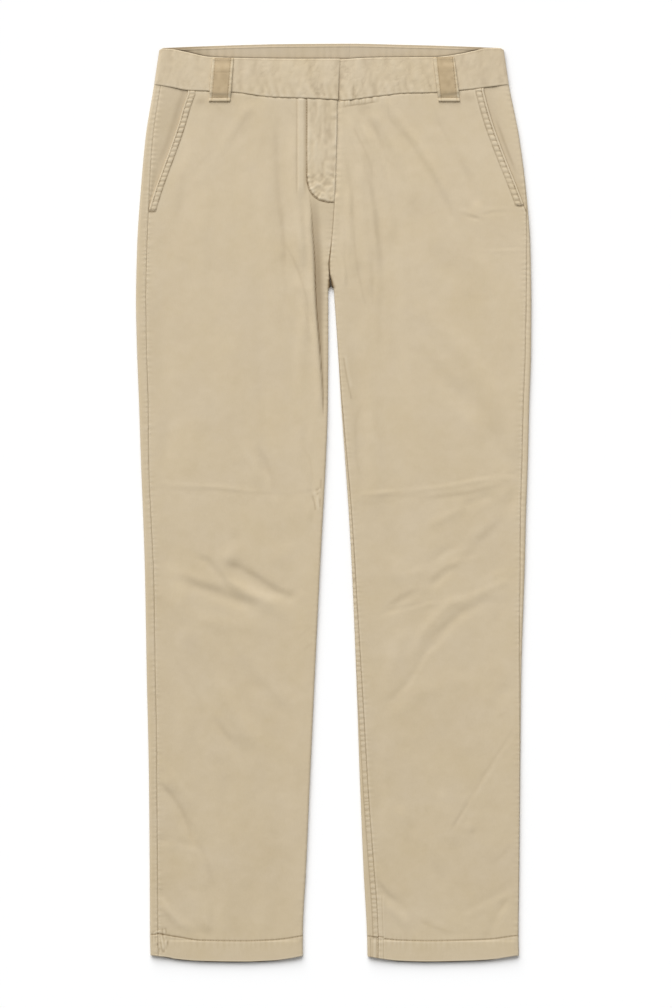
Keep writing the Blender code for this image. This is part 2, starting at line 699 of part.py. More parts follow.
def build_bearer(half, material, collection):
    """Pocket bearer: fills the hip beside the slanted opening and runs under the front."""
    rows = []
    for row in BEARER_ROWS:
        height = outer_point(half, row, 0.0)[1]
        seam = SEAM_TURN(half + "_outseam", height) + SEAM_GAP / 2
        shown = outer_seam(half, height) - seam
        columns = []
        for share in (0.0, 0.2, 0.4, 0.7, 1.0):
            x, height, z, lean = outer_point(half, row, seam + shown * share)
            columns.append((x, height, z - BEARER_DROP * smooth(share / 0.7), lean))
        for under in (BEARER_SETTLE, BEARER_REACH):
            x, height, z, lean = outer_point(half, row, seam + shown + under)
            columns.append((x, height, z - BEARER_UNDER, lean))
        rows.append(columns if half == "right" else columns[::-1])
    return cloth_sheet("pocket_bearer_" + half, rows, BEARER_WALL, material, collection)


def build_loop(half, material, collection):
    """Belt loop over the front band, sewn down above it and just below the seam."""
    (top_x, top_height), (low_x, low_height) = LOOPS[half]["top"], LOOPS[half]["bottom"]
    table = BAND_RIGHT if half == "right" else BAND_LEFT
    rows = []
    for k in range(LOOP_ROWS + 1):
        t = k / LOOP_ROWS
        middle = mix(low_x, top_x, t)
        height = mix(low_height, top_height, t)
        gap = LOOP_GAP * smooth(t / LOOP_END - LOOP_SEWN) * smooth((1 - t) / LOOP_END - LOOP_SEWN)
        row = []
        for across in (-0.5, -0.25, 0.0, 0.25, 0.5):
            x = middle + across * LOOP_WIDTH
            panel = front_height(half, x, min(height, table("seam", x)))
            band = band_level(half, x) + BAND_PILLOW
            base = mix(panel, band, smooth((height - table("seam", x)) / LOOP_STEP + 1.2))
            row.append((x, height, base + SEAM_GAP + gap + LOOP_WALL, 0.0))
        rows.append(row)
    return cloth_sheet("belt_loop_" + half, rows, LOOP_WALL, material, collection)


def build_trousers():
    clear_scene()
    collection = bpy.data.collections.new("chino_trousers")
    bpy.context.scene.collection.children.link(collection)
    leg_cloth = cloth_material("khaki_twill", CLOTH)
    band_cloth = cloth_material("khaki_band", BAND_CLOTH)
    loop_cloth = cloth_material("khaki_loop", LOOP_CLOTH)
    inside_cloth = cloth_material("khaki_inside", INSIDE_CLOTH)
    for half in SIDE:
        build_front(half, leg_cloth, collection)
        build_back(half, leg_cloth, collection)
        build_bearer(half, leg_cloth, collection)
        build_band(half, band_cloth, collection)
        build_facing(half, inside_cloth, collection)
        build_loop(half, loop_cloth, collection)


build_trousers()
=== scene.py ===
import math

import bpy
import numpy as np
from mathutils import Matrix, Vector


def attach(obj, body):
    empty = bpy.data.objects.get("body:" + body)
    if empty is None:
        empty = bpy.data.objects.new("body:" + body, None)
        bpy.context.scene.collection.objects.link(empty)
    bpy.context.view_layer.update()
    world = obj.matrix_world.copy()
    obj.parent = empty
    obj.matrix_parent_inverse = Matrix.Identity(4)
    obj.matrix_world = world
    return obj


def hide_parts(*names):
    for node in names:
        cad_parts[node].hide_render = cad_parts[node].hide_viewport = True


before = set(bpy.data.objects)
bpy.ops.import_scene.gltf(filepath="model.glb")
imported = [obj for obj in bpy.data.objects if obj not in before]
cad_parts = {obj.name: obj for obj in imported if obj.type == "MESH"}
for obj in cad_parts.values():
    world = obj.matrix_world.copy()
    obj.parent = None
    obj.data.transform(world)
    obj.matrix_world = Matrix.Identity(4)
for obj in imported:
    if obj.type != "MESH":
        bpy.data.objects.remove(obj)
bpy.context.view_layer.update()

# Everything is in metres. x runs across, h is the height above the lowest point of the hems.
trousers = {
    "length": 1.0231,
    "crotch": 0.752,
    "bandSide": 0.977,        # height of the waistband seam at the side folds
    "bandCorner": 1.018,
    "seamGap": 0.0001,
    "legWall": 0.0012,
    "sides": {"right": -1, "left": 1},
}


# numbers and curves

def smooth(value):
    value = np.clip(value, 0.0, 1.0)
    return value * value * (3 - 2 * value)


def mix(low, high, share):
    return low + (high - low) * share


def bell(value):
    return np.exp(-value * value)


class Curve:
    # Rows of numbers read as smooth curves that never overshoot a row.

    def __init__(self, columns, *rows):
        data = np.array(rows, dtype=float)
        self.at = data[:, 0]
        self.values = dict(zip(columns.split()[1:], data[:, 1:].T))
        self.rates = {name: self.slopes(column) for name, column in self.values.items()}

    def slopes(self, column):
        step = np.diff(self.at)
        rate = np.diff(column) / step
        before, after = rate[:-1], rate[1:]
        same = before * after > 0
        near = 2 * step[1:] + step[:-1]
        far = step[1:] + 2 * step[:-1]
        middle = (near + far) / (near / np.where(same, before, 1) + far / np.where(same, after, 1))
        return np.concatenate([rate[:1], np.where(same, middle, 0), rate[-1:]])

    def __call__(self, name, place):
        place = np.clip(place, self.at[0], self.at[-1])
        k = np.clip(np.searchsorted(self.at, place) - 1, 0, len(self.at) - 2)
        step = self.at[k + 1] - self.at[k]
        t = (place - self.at[k]) / step
        column, rate = self.values[name], self.rates[name]
        return (column[k] * (1 + 2 * t) * (1 - t) ** 2 + rate[k] * step * t * (1 - t) ** 2
                + column[k + 1] * t * t * (3 - 2 * t) + rate[k + 1] * step * t * t * (t - 1))


def wander(place, seed):
    # smooth random curve between -1 and 1, one new value at each whole number
    values = np.random.default_rng(seed).uniform(-1, 1, 512)
    low = np.floor(place).astype(int)
    return mix(values[low % 512], values[(low + 1) % 512], smooth(place - low))


def patches(x, h, size, seed):
    # the same over a surface, with a new value every size metres
    values = np.random.default_rng(seed).uniform(-1, 1, (128, 128))
    across, up = x / size + 64, h / size
    j, i = np.floor(across).astype(int), np.floor(up).astype(int)
    sideways, upwards = smooth(across - j), smooth(up - i)
    low = mix(values[i % 128, j % 128], values[i % 128, (j + 1) % 128], sideways)
    high = mix(values[(i + 1) % 128, j % 128], values[(i + 1) % 128, (j + 1) % 128], sideways)
    return mix(low, high, upwards)


def wrinkles(x, h, size, seed):
    # thin lines, 1 along each and 0 between, present in places only
    field = patches(x, h, size, seed) + 0.35 * patches(x, h, 0.4 * size, seed + 50)
    return bell(field / 0.13) * smooth(0.5 + 1.2 * patches(x, h, 2.2 * size, seed + 90))


def puckers(along, period, seed, slant=0.0):
    # uneven waves between -1 and 1 along a row of stitches
    drift = 0.55 * wander(along / (1.7 * period), seed)
    strength = 0.62 + 0.38 * wander(along / (2.3 * period), seed + 1)
    return strength * np.sin(2 * math.pi * ((along + slant) / period + drift))


def nearLine(x, h, line):
    # distance to a bent line, side of it (1 is to the left of its direction), place counted in bends
    best = np.full(np.broadcast(x, h).shape, 1e9)
    side, place = np.zeros_like(best), np.zeros_like(best)
    for k, ((x0, h0), (x1, h1)) in enumerate(zip(line, line[1:])):
        dx, dh = x1 - x0, h1 - h0
        span = math.hypot(dx, dh)
        t = np.clip(((x - x0) * dx + (h - h0) * dh) / span ** 2, 0, 1)
        gap = np.hypot(x - x0 - t * dx, h - h0 - t * dh)
        nearer = gap < best
        best = np.where(nearer, gap, best)
        side = np.where(nearer, np.sign(dx * (h - h0) - dh * (x - x0)), side)
        place = np.where(nearer, k + t, place)
    return best, side, place


# the laid form, as the solids have it

outline = Curve(
    "height right left",
    (0.000, -0.2040, 0.2065), (0.030, -0.2047, 0.2060), (0.100, -0.2050, 0.2068),
    (0.200, -0.2058, 0.2077), (0.320, -0.2083, 0.2090), (0.440, -0.2105, 0.2129),
    (0.500, -0.2125, 0.2144), (0.560, -0.2149, 0.2165), (0.620, -0.2168, 0.2179),
    (0.680, -0.2191, 0.2199), (0.735, -0.2203, 0.2202), (0.800, -0.2189, 0.2190),
    (0.860, -0.2149, 0.2143), (0.920, -0.2094, 0.2065), (0.977, -0.2002, 0.1953),
    (1.000, -0.1968, 0.1919), (1.018, -0.1940, 0.1892))
innerEdge = Curve(
    "height right left",
    (0.000, -0.0343, 0.0378), (0.030, -0.0343, 0.0371), (0.100, -0.0309, 0.0334),
    (0.200, -0.0265, 0.0293), (0.320, -0.0209, 0.0251), (0.440, -0.0151, 0.0203),
    (0.500, -0.0118, 0.0170), (0.560, -0.0086, 0.0128), (0.620, -0.0065, 0.0085),
    (0.680, -0.0060, 0.0048), (0.735, -0.0060, 0.0010), (0.7505, -0.0057, -0.0004),
    (0.752, -0.0030, -0.0030))
# where the seams lie, round the cloth from the outermost line forwards onto the front
seamTurn = Curve(
    "height right_outseam left_outseam right_inseam left_inseam",
    (0.000, 0.0103, 0.0010, 0.0000, 0.0139), (0.063, 0.0103, 0.0010, 0.0000, 0.0139),
    (0.132, 0.0102, 0.0010, 0.0000, 0.0121), (0.192, 0.0102, 0.0011, 0.0000, 0.0102),
    (0.260, 0.0109, 0.0018, 0.0000, 0.0086), (0.330, 0.0111, 0.0036, 0.0000, 0.0070),
    (0.410, 0.0112, 0.0060, 0.0000, 0.0053), (0.530, 0.0100, 0.0080, 0.0000, 0.0040),
    (0.640, 0.0119, 0.0082, 0.0000, 0.0020), (0.752, 0.0126, 0.0070, 0.0000, 0.0000),
    (0.819, 0.0124, 0.0046, 0.0000, 0.0000), (0.860, 0.0112, 0.0020, 0.0000, 0.0000),
    (0.900, 0.0102, 0.0012, 0.0000, 0.0000), (0.977, 0.0090, 0.0010, 0.0000, 0.0000))
centre = Curve(
    "height front back",
    (0.7520, -0.0030, -0.0030), (0.7765, -0.0050, -0.0018), (0.7921, -0.0035, -0.0010),
    (0.8166, -0.0010, 0.0012), (0.8467, 0.0008, 0.0040), (0.9003, 0.0029, 0.0087),
    (0.9560, 0.0039, 0.0136), (1.0231, 0.0070, 0.0195))
pocketEdge = Curve(
    "height right left",
    (0.8330, -0.2077, 0.2156), (0.8385, -0.2057, 0.2132), (0.8483, -0.2027, 0.2097),
    (0.8620, -0.1983, 0.2046), (0.8875, -0.1891, 0.1944), (0.9125, -0.1803, 0.1849),
    (0.9375, -0.1723, 0.1763), (0.9580, -0.1664, 0.1704), (0.9732, -0.1612, 0.1666))
thighFold = Curve(
    "height edge strength",
    (0.000, -0.0480, 0.0), (0.320, -0.0345, 0.0), (0.560, -0.0165, 0.0), (0.6025, -0.0125, 0.0),
    (0.630, -0.0130, 0.7), (0.683, -0.0164, 1.0), (0.734, -0.0205, 1.0), (0.792, -0.0227, 1.0),
    (0.815, -0.0244, 0.9), (0.835, -0.0256, 0.4), (0.850, -0.0275, 0.0), (0.880, -0.0300, 0.0),
    (0.977, -0.0300, 0.0))
thickness = Curve(
    "height laid",
    (0.000, 0.0052), (0.600, 0.0052), (0.752, 0.0056), (0.900, 0.0060), (0.977, 0.0060))
hemBow = Curve(
    "across right left",
    (0.00, 0.0072, 0.0072), (0.11, 0.0050, 0.0042), (0.16, 0.0032, 0.0028), (0.34, 0.0007, 0.0010),
    (0.60, 0.0000, 0.0001), (0.80, 0.0012, 0.0010), (0.89, 0.0030, 0.0028), (1.00, 0.0065, 0.0058))
bandFront = {
    "right": Curve(
        "across top seam",
        (-0.2002, 1.0180, 0.9770), (-0.1800, 1.0166, 0.9740), (-0.1625, 1.0132, 0.9707),
        (-0.1370, 1.0081, 0.9697), (-0.1110, 1.0070, 0.9685), (-0.0690, 1.0062, 0.9632),
        (-0.0300, 1.0060, 0.9618), (0.0070, 1.0060, 0.9600)),
    "left": Curve(
        "across top seam",
        (-0.0300, 1.0040, 0.9620), (0.0020, 1.0045, 0.9618), (0.0060, 1.0050, 0.9592),
        (0.0470, 1.0073, 0.9638), (0.0810, 1.0076, 0.9674), (0.1100, 1.0078, 0.9680),
        (0.1420, 1.0118, 0.9708), (0.1570, 1.0150, 0.9723), (0.1700, 1.0177, 0.9740),
        (0.1953, 1.0180, 0.9770)),
}
bandBack = Curve(
    "across top seam",
    (-0.2002, 1.0178, 0.9770), (-0.1490, 1.0200, 0.9800), (-0.1045, 1.0215, 0.9820),
    (-0.0600, 1.0226, 0.9833), (0.0000, 1.0230, 0.9840), (0.0195, 1.0231, 0.9840),
    (0.0740, 1.0219, 0.9828), (0.1185, 1.0208, 0.9812), (0.1953, 1.0178, 0.9770))

leg = {
    "sag": 0.0008,              # the front lies this much lower away from its edges
    "sagReach": 0.030,
    "foldReach": 0.014,         # width beside the edges over which the folds flatten out
    "sagTop": (0.925, 0.970),   # heights between which the sag ends
    "lapJoin": 0.080,           # above the crotch, until the inner edge flattens nothing any more
    "rollLength": 0.030,        # above the crotch, where the centre seam turns down
    "dropStart": 0.868,         # above this the rows bend to follow the waistband seam
    "bowFade": 0.120,           # above this the rows no longer follow the bowed hem
    "hemDepth": 0.0232,
    "hemExtra": 0.0004,         # the turned hem stands this much higher
    "thighDrop": 0.0016,        # step down from the inner thigh fold to the strip beside it
    "thighStep": 0.0016,        # width of that step
    "flyStitch": -0.0300,
    "flyCurveTop": 0.8790,
    "flyBottom": 0.8461,
    "flyPower": 2.6,
    "flyExtra": 0.0006,         # the facing lifts the fly by this much
    "underlap": 0.0120,         # the left front runs this far under the fly
    "underlapLevels": (0.850, 0.858, 0.876),   # starts, has dropped, full width
    "underlapDrop": 0.0011,
    "pocketEnd": {"right": 0.8360, "left": 0.8425},
    "openingEnd": 0.8335,       # lower end of the pocket opening
    "lipWidth": {"right": 0.0080, "left": 0.0096},
    "lipRise": 0.0006,
}

# Folds and wrinkles of the fronts, in millimetres: half width, then places the fold runs through.
# Each place is (across, height, ridge, tilt); tilt raises the cloth to the left of the line.
# A place without the last two is flat.
folds = {
    "right": [
        (5.6, (-62, 987), (-63, 960, -0.1, 0.1), (-64, 927, -0.1, -0.2), (-63, 894, -0.8, -0.2),
         (-60, 860, -1.2, -0.3), (-55, 827, -1.2, -0.3), (-52, 799, -1.3, -0.1), (-44, 775, -1.2, 0.5),
         (-35, 749, 0.4, 0.2), (-29, 715, 0, -1), (-23, 688)),
        (6.7, (-48, 974), (-48, 938, -0.1, 0), (-48, 894, 0.9, 0.5), (-44, 849, 1.3, 0.3),
         (-39, 804, 2, 0.9), (-34, 769)),
        (5.6, (-85, 971), (-91, 960, -0.3, 0), (-99, 947, 0.6, 0), (-116, 916, 0.2, -0.1),
         (-133, 888, 0.1, 0), (-154, 866, 0.1, 0), (-170, 848)),
        (4.5, (-58, 808), (-57, 784, -0.3, -0.4), (-54, 754, 0.11, -0.2), (-53, 721, 0.12, 0.07),
         (-52, 694)),
        (2.2, (-60, 828), (-58, 816, -0.25, 0), (-54, 799, -0.35, 0), (-46, 782, -0.3, 0),
         (-38, 765, -0.3, 0), (-31, 743, -0.25, 0), (-24, 722)),
        (10, (-80, 985), (-80, 949, 0.3, 0.3), (-80, 905, 0.1, -0.1), (-80, 849, 0.7, 0.4),
         (-75, 793, 0.2, 0.4), (-71, 737, 0.2, 0.3), (-67, 693)),
        (10, (-101, 907), (-104, 871, -0.2, 0.2), (-109, 827, -0.2, -0.1), (-113, 771, -0.1, 0),
         (-109, 704, 0.1, 0.1), (-105, 650)),
        (8.9, (-165, 965), (-166, 938, -0.7, 0.3), (-167, 905, -0.8, 0.5), (-169, 866, 0, -0.4),
         (-171, 827, -0.6, 0), (-169, 782, 0.3, -0.1), (-167, 746)),
        (8.9, (-143, 972), (-144, 927, 0.5, 0), (-145, 871, 0.2, 0.1), (-144, 816, 0.5, -0.1),
         (-140, 760, -0.1, -0.2), (-137, 715)),
        (6.7, (-80, 731), (-80, 704, -0.1, 0), (-80, 671, -0.3, 0.1), (-79, 626, -0.7, 0),
         (-73, 593, -0.4, -0.1), (-69, 566)),
        (7.8, (-36, 729), (-38, 693, 0.6, 0.4), (-40, 648, 0.3, 0.2), (-39, 604, 0.2, 0.1),
         (-34, 565, 0.1, -0.3), (-31, 533)),
        (6.7, (-76, 610), (-80, 593, -0.2, 0), (-84, 570, -0.2, -0.2), (-79, 548, -0.7, -0.8),
         (-70, 526, -0.4, -0.3), (-63, 508)),
        (6.7, (-103, 615), (-99, 593, -0.1, 0), (-93, 565, 0.4, -0.2), (-87, 542, 0.4, -0.1), (-81, 524)),
        (5.6, (-29, 604), (-28, 581, 0.1, 0.2), (-25, 553, -0.4, 0), (-22, 526, -1.2, -0.2),
         (-24, 498, 0, -0.3), (-26, 475)),
        (2.8, (-215, 536), (-198, 533, 0.04, 0), (-177, 530, 0.14, 0.02), (-158, 529, 0.16, 0.06),
         (-138, 528, 0.24, 0.12), (-116, 526, 0.2, 0.14), (-98, 523, 0.08, 0.08), (-77, 522, 0, 0.07),
         (-49, 523, 0.1, 0), (-24, 526, 0, 0.07), (-5, 527)),
        (6.6, (-133, 454), (-120, 447, 0.1, 0.1), (-104, 437, -1.2, 0.2), (-88, 427, -1.9, 0.5),
         (-70, 416, -1.5, 0.5), (-51, 409, -0.4, 0.3), (-34, 410, 0.1, -0.1), (-20, 410)),
        (7.4, (-183, 434), (-168, 428, 0.1, 0.2), (-149, 421, 0, 0.5), (-127, 412, -0.8, 0.4),
         (-104, 403, -0.9, 0.5), (-89, 397, -0.2, 0.1), (-79, 394)),
        (6.7, (-139, 443), (-125, 433, 0.6, 0.1), (-107, 421, 0.8, -0.7), (-91, 411, 0.75, -0.6),
         (-76, 404, 0.6, -0.2), (-60, 396)),
        (5.4, (-163, 463), (-152, 455, -0.1, 0.1), (-139, 446, -0.7, 0.35), (-129, 435, -1, 0.35),
         (-120, 422, -0.4, 0.2), (-113, 409)),
        (10, (-191, 464), (-185, 448, -0.3, 0), (-177, 427, 0.6, 0), (-169, 403, 1.9, 0.1),
         (-158, 375, 0.8, -0.1), (-149, 353)),
        (8.9, (-216, 416), (-194, 403, 0, 0.2), (-166, 386, 0.6, 0), (-132, 375, 0.4, 0.1),
         (-93, 370, 0.2, 0.1), (-62, 365)),
        (8.9, (-92, 402), (-74, 396, 0.5, 0), (-55, 389, 0.3, 0), (-38, 378, 0.1, 0), (-19, 370)),
        (11.2, (-162, 385), (-149, 358, 1.3, -0.2), (-132, 325, 0.6, -0.5), (-113, 291, 1.2, -0.8),
         (-96, 260, 1.2, -0.8), (-81, 235)),
        (10, (-126, 374), (-109, 347, -0.3, 0.2), (-88, 314, -0.5, 0.4), (-62, 291, 0, 0.3),
         (-42, 278, 0.1, 0.1), (-26, 267)),
        (6, (-136, 279), (-127, 267, -0.1, 0.3), (-117, 252, -0.1, 0.4), (-109, 240, -0.1, 0.1),
         (-102, 230)),
        (5.6, (-198, 207), (-190, 197, 0, 0.4), (-180, 183, -0.9, 0.1), (-170, 169, -1.2, 0.3),
         (-160, 151, -1.6, 0.7), (-149, 124, -0.7, 0.2), (-140, 85, -0.7, -0.2), (-138, 52, 0.4, -0.3),
         (-136, 25)),
        (5.6, (-194, 232), (-186, 218, 0.1, -0.2), (-175, 201, 0.5, -0.2), (-163, 182, 0.3, -0.1),
         (-153, 166)),
        (4.5, (-211, 138), (-196, 135, -0.5, -0.04), (-177, 132, 0.01, -0.07), (-160, 129, -0.27, -0.1),
         (-144, 122, -0.14, 0.03), (-130, 117)),
        (5.6, (-205, 87), (-196, 74, -0.1, -0.4), (-185, 58, 0.8, -0.2), (-169, 44, 0.5, -0.2),
         (-145, 33, -0.3, 0), (-125, 24)),
        (4.5, (-161, 82), (-154, 65, 0.4, 0.1), (-145, 44, 0.45, -0.04), (-137, 27)),
        (11.2, (-119, 260), (-121, 225, -0.2, -0.1), (-125, 180, 0, -0.3), (-127, 124, 0.7, 0),
         (-125, 68, 0.1, 0.6), (-123, 24)),
        (11.2, (-84, 269), (-82, 225, 0.3, -0.3), (-80, 169, 0.2, 0.1), (-82, 113, 0.1, 0.1),
         (-84, 57, -0.2, 0.3), (-86, 13)),
        (11.2, (-176, 394), (-171, 358, 0.4, 0.4), (-166, 314, -0.3, 0.1), (-160, 258, 0.3, -0.3),
         (-156, 213)),
        (11.2, (-59, 278), (-54, 225, 0, 0.2), (-49, 158, 0.1, 0.1), (-49, 91, -0.2, -0.1), (-49, 37)),
        (13.4, (-146, 695), (-149, 659, 0.1, -0.1), (-154, 615, 0.2, 0.3), (-158, 570, 0.2, 0),
         (-162, 535)),
        (13.4, (-114, 715), (-116, 671, 0.4, -0.1), (-118, 615, 0.4, 0), (-120, 559, 0.1, 0.1),
         (-122, 514)),
        (11.2, (-191, 760), (-188, 715, -0.6, 0.2), (-185, 659, -0.7, 0.3), (-188, 593, -0.5, -0.4),
         (-191, 539)),
        (11.2, (-44, 530), (-49, 503, 0.2, 0.2), (-54, 470, -0.4, 0.1), (-60, 448, 0.3, -0.1),
         (-64, 430)),
        (10, (-100, 526), (-104, 503, -0.3, 0), (-110, 475, -0.1, -0.2), (-118, 453, 1, 0.3),
         (-124, 435)),
    ],
    "left": [
        (5.6, (8, 963), (14, 947), (20, 927, 1.1, 0), (29, 902, 1.3, -0.3), (38, 871, 1, -0.6),
         (46, 838, 0.6, -1), (50, 804, -0.2, -0.8), (52, 780, -0.1, -0.6), (52, 754, 0.3, -0.3),
         (51, 726, -0.2, -0.2), (53, 693, -0.4, -0.2), (55, 666)),
        (5.6, (29, 962), (38, 952, 0, 0.3), (49, 938, 0.8, 0), (59, 923, 0.7, 0), (67, 902, 0.6, 0.5),
         (73, 880, 0.1, 0.4), (77, 862)),
        (5.6, (52, 968), (63, 952, 0.6, 0), (76, 931, 0.7, 0.2), (92, 909, 0.4, 0.4),
         (106, 887, 0.6, 0.5), (119, 863, 0.3, 0.6), (130, 840, -0.2, 0.5), (143, 813, 0, 0.1),
         (154, 792)),
        (6.7, (103, 944), (114, 929, -0.1, -0.2), (127, 910, -0.2, -0.1), (140, 894, -0.5, 0.1),
         (152, 873, -1, 0.4), (159, 853, -0.9, 0.3), (164, 837)),
        (5.6, (23, 956), (32, 938, -0.2, -0.5), (43, 916, 0.5, -0.9), (54, 888, 0.2, -0.8),
         (61, 855, 0.4, -0.2), (65, 816, 0.7, -0.1), (69, 784)),
        (4.5, (17, 894), (18, 871, -0.13, -0.04), (19, 843, 0.73, -0.47), (20, 804, 0.68, -0.3),
         (23, 780, 0.54, 0.12), (24, 760)),
        (5.6, (28, 892), (30, 866, 1.2, -0.1), (34, 832, 1.2, -0.1), (38, 799, 0.8, -0.1),
         (42, 765, 0.5, -0.5), (44, 739)),
        (2.8, (138, 838), (146, 834, 0.1, 0.12), (156, 830, -0.1, 0.19), (168, 828, 0.03, 0.04),
         (177, 826)),
        (2.8, (148, 830), (161, 832, 0, 0.03), (177, 836, -0.02, 0.13), (192, 837, -0.02, 0.06),
         (203, 836, 0.04, 0.02), (212, 835)),
        (2.5, (157, 791), (170, 792, 0.05, 0), (185, 793, 0.09, -0.08), (201, 794, 0, -0.1),
         (210, 794, 0.06, -0.05), (217, 794)),
        (2.8, (7, 835), (9, 813, 0.03, 0.26), (11, 787, -0.03, -0.21), (13, 764, 0.6, -0.24), (13, 746)),
        (2.2, (17, 800), (21, 780, -0.2, 0), (26, 758, -0.3, 0), (32, 738, -0.25, 0), (38, 718)),
        (13.4, (78, 831), (96, 804, 0.2, 0), (119, 771, -0.3, -0.3), (143, 742, -0.1, 0.1), (170, 731),
         (191, 722)),
        (11.2, (73, 896), (79, 860, 0.2, 0.4), (87, 816, -0.1, -0.2), (94, 771, 0.5, 0),
         (101, 726, 0.5, -0.2), (106, 691)),
        (10, (152, 798), (163, 771, 0.5, 0.3), (177, 737, 0.4, 0.4), (185, 693, 0.1, 0.5), (193, 657)),
        (11.2, (66, 818), (68, 782, 0.2, 0.7), (72, 737, 0, 0.7), (76, 682, -0.7, 0.5),
         (81, 626, -0.1, 0.1), (84, 581)),
        (13.4, (92, 736), (119, 710, 0.6, -0.1), (152, 676, 0.9, -0.2), (177, 632, 1.8, 0.1),
         (192, 581, 0.7, 0.9), (205, 541)),
        (11.2, (84, 704), (102, 682, 0.3, 0.2), (124, 654, -0.1, 0.3), (143, 628, -0.8, 0),
         (161, 598, 0.2, -0.2), (175, 574)),
        (6.7, (159, 632), (168, 617, -0.1, 0.1), (179, 598, 0.5, 0), (189, 575, 0.2, 0), (197, 556)),
        (3.3, (8, 520), (22, 521, -0.04, 0.01), (38, 522, 0.19, -0.11), (56, 523, 0.39, -0.13),
         (78, 526, -0.03, -0.05), (105, 528, 0.16, -0.11), (132, 532, 0.12, -0.13),
         (159, 537, 0.23, -0.14), (185, 540, 0.13, -0.04), (201, 541, -0.05, -0.1), (214, 542)),
        (4.5, (7, 511), (29, 512, 0.05, 0.06), (57, 513, 0, 0.06), (85, 516, -0.1, -0.03),
         (110, 518, 0.1, 0.08), (132, 520, -0.1, 0.12), (154, 524, 0.08, 0.1), (177, 530, 0.2, 0.12),
         (194, 535)),
        (5, (86, 476), (101, 483), (119, 492, 0.4, 0), (136, 503, 0.3, -0.1), (152, 513, -0.2, 0.1),
         (168, 518, -0.3, 0.1), (180, 521)),
        (7.8, (127, 449), (143, 461, 0.1, -0.1), (163, 475, 0.2, 0.2), (183, 492, 0.1, 0.1),
         (201, 512, -0.5, -0.1), (215, 528)),
        (5, (50, 385), (61, 393, -0.3, 0), (74, 403, -0.4, 0.2), (87, 411, -0.2, 0.1),
         (102, 416, 0.1, 0), (114, 424, -0.6, 0.1), (124, 435, -0.3, 0.2), (137, 444, 0.3, 0.1),
         (152, 451, -0.1, -0.1), (164, 456)),
        (5.6, (61, 426), (74, 431, 0.2, 0), (91, 436, 0.2, -0.1), (107, 444, -0.2, 0),
         (124, 455, -0.4, -0.1), (143, 464), (158, 471)),
        (2.8, (37, 386), (52, 388, -0.03, 0.04), (69, 392, -0.29, 0), (87, 395, -0.15, -0.09),
         (107, 399, 0.16, -0.07), (123, 401)),
        (5.6, (81, 331), (90, 347, 0.3, 0), (101, 367, 0.4, 0.1), (114, 384, 0.5, 0), (130, 399, 0.7, 0),
         (148, 407, 0.2, -0.1), (168, 415, 0.4, -0.2), (188, 423, 0.5, -0.1), (201, 427, -0.2, 0),
         (212, 431)),
        (6.7, (95, 346), (107, 358, -0.3, 0.2), (123, 374, -0.4, 0.4), (141, 390, -0.4, 0.3),
         (163, 401, -0.3, 0.2), (185, 407, 0.3, 0.1), (203, 413)),
        (5.6, (139, 405), (152, 414, 0, 0.1), (168, 425, 0.1, -0.1), (183, 434, 0.1, -0.1),
         (199, 441, -0.1, 0), (211, 446)),
        (3.9, (58, 286), (65, 293, -0.13, -0.02), (74, 300, -0.24, -0.05), (83, 312, -0.42, 0.02),
         (92, 326, -0.28, -0.02), (103, 344, -0.32, -0.06), (116, 358, -0.18, 0.06), (127, 370)),
        (10, (52, 272), (72, 285, 0.1, -0.2), (96, 300, 0.5, 0), (124, 314, 0.2, -0.1),
         (152, 325, -0.2, -0.1), (177, 332, 0.1, -0.1), (196, 337)),
        (10, (81, 376), (74, 358, 0.4, 0), (65, 336, 0.6, 0.1), (58, 303, 0.3, 0.1), (53, 276)),
        (8.9, (161, 283), (174, 291, 0.1, 0.1), (191, 303, -0.4, 0.1), (205, 314, -0.1, 0), (217, 323)),
        (2.5, (128, 143), (135, 155, -0.11, 0.14), (144, 171, -0.14, 0.12), (156, 191, -0.09, 0.06),
         (170, 210, -0.27, 0), (183, 228, -0.03, -0.09), (197, 246, 0.01, -0.07),
         (207, 258, -0.02, -0.07), (215, 268)),
        (5.6, (148, 158), (152, 151, 0.3, -0.1), (156, 142, -0.1, -0.1), (160, 135)),
        (6.7, (73, 177), (78, 163, 0.5, -0.2), (85, 147, 0, -0.3), (90, 133)),
        (6.7, (113, 193), (119, 180, 0.3, 0.2), (125, 163, 0.7, 0.2), (132, 141, 0.7, 0), (137, 123)),
        (5.6, (27, 123), (36, 111), (47, 95, 0.1, 0.2), (58, 78, -0.2, 0.5), (72, 62, -0.3, -0.2),
         (83, 44, 0.3, -0.2), (92, 30)),
        (4.5, (75, 64), (87, 55, 0.05, -0.03), (103, 44, 0, 0.09), (123, 34, 0.04, 0.09),
         (141, 31, -0.1, 0), (155, 28)),
        (4.5, (59, 67), (67, 57, 0.42, -0.14), (77, 45, 0.22, -0.06), (87, 35, -0.14, -0.16), (95, 27)),
        (5.6, (140, 49), (154, 57, 0, -0.1), (172, 67, -0.2, -0.1), (190, 74, 0.2, -0.2),
         (208, 82, 0, -0.3), (222, 88)),
        (5.6, (163, 18), (171, 29, -0.3, 0.1), (181, 44, -0.3, -0.1), (191, 60, -0.1, -0.3),
         (199, 71, 0.3, -0.2), (205, 80)),
        (8.9, (98, 151), (107, 124, 0.1, 0.3), (119, 91, -0.6, 0), (127, 63, -0.3, -0.1), (135, 41)),
        (13.4, (47, 216), (74, 225, -0.1, 0), (107, 236, -0.2, 0), (152, 241, 0.2, 0), (188, 246)),
        (8.9, (48, 260), (52, 225, -0.1, 0.5), (56, 180, -0.4, 0.4), (58, 135, 0.3, 0), (60, 100)),
        (11.2, (48, 519), (57, 492, -0.6, 0.1), (68, 459, -0.8, 0), (74, 436, -0.2, -0.2), (78, 419)),
        (11.2, (26, 737), (29, 693, 0.3, 0.4), (34, 637, 0, 0.9), (38, 581, 0.3, 1.1),
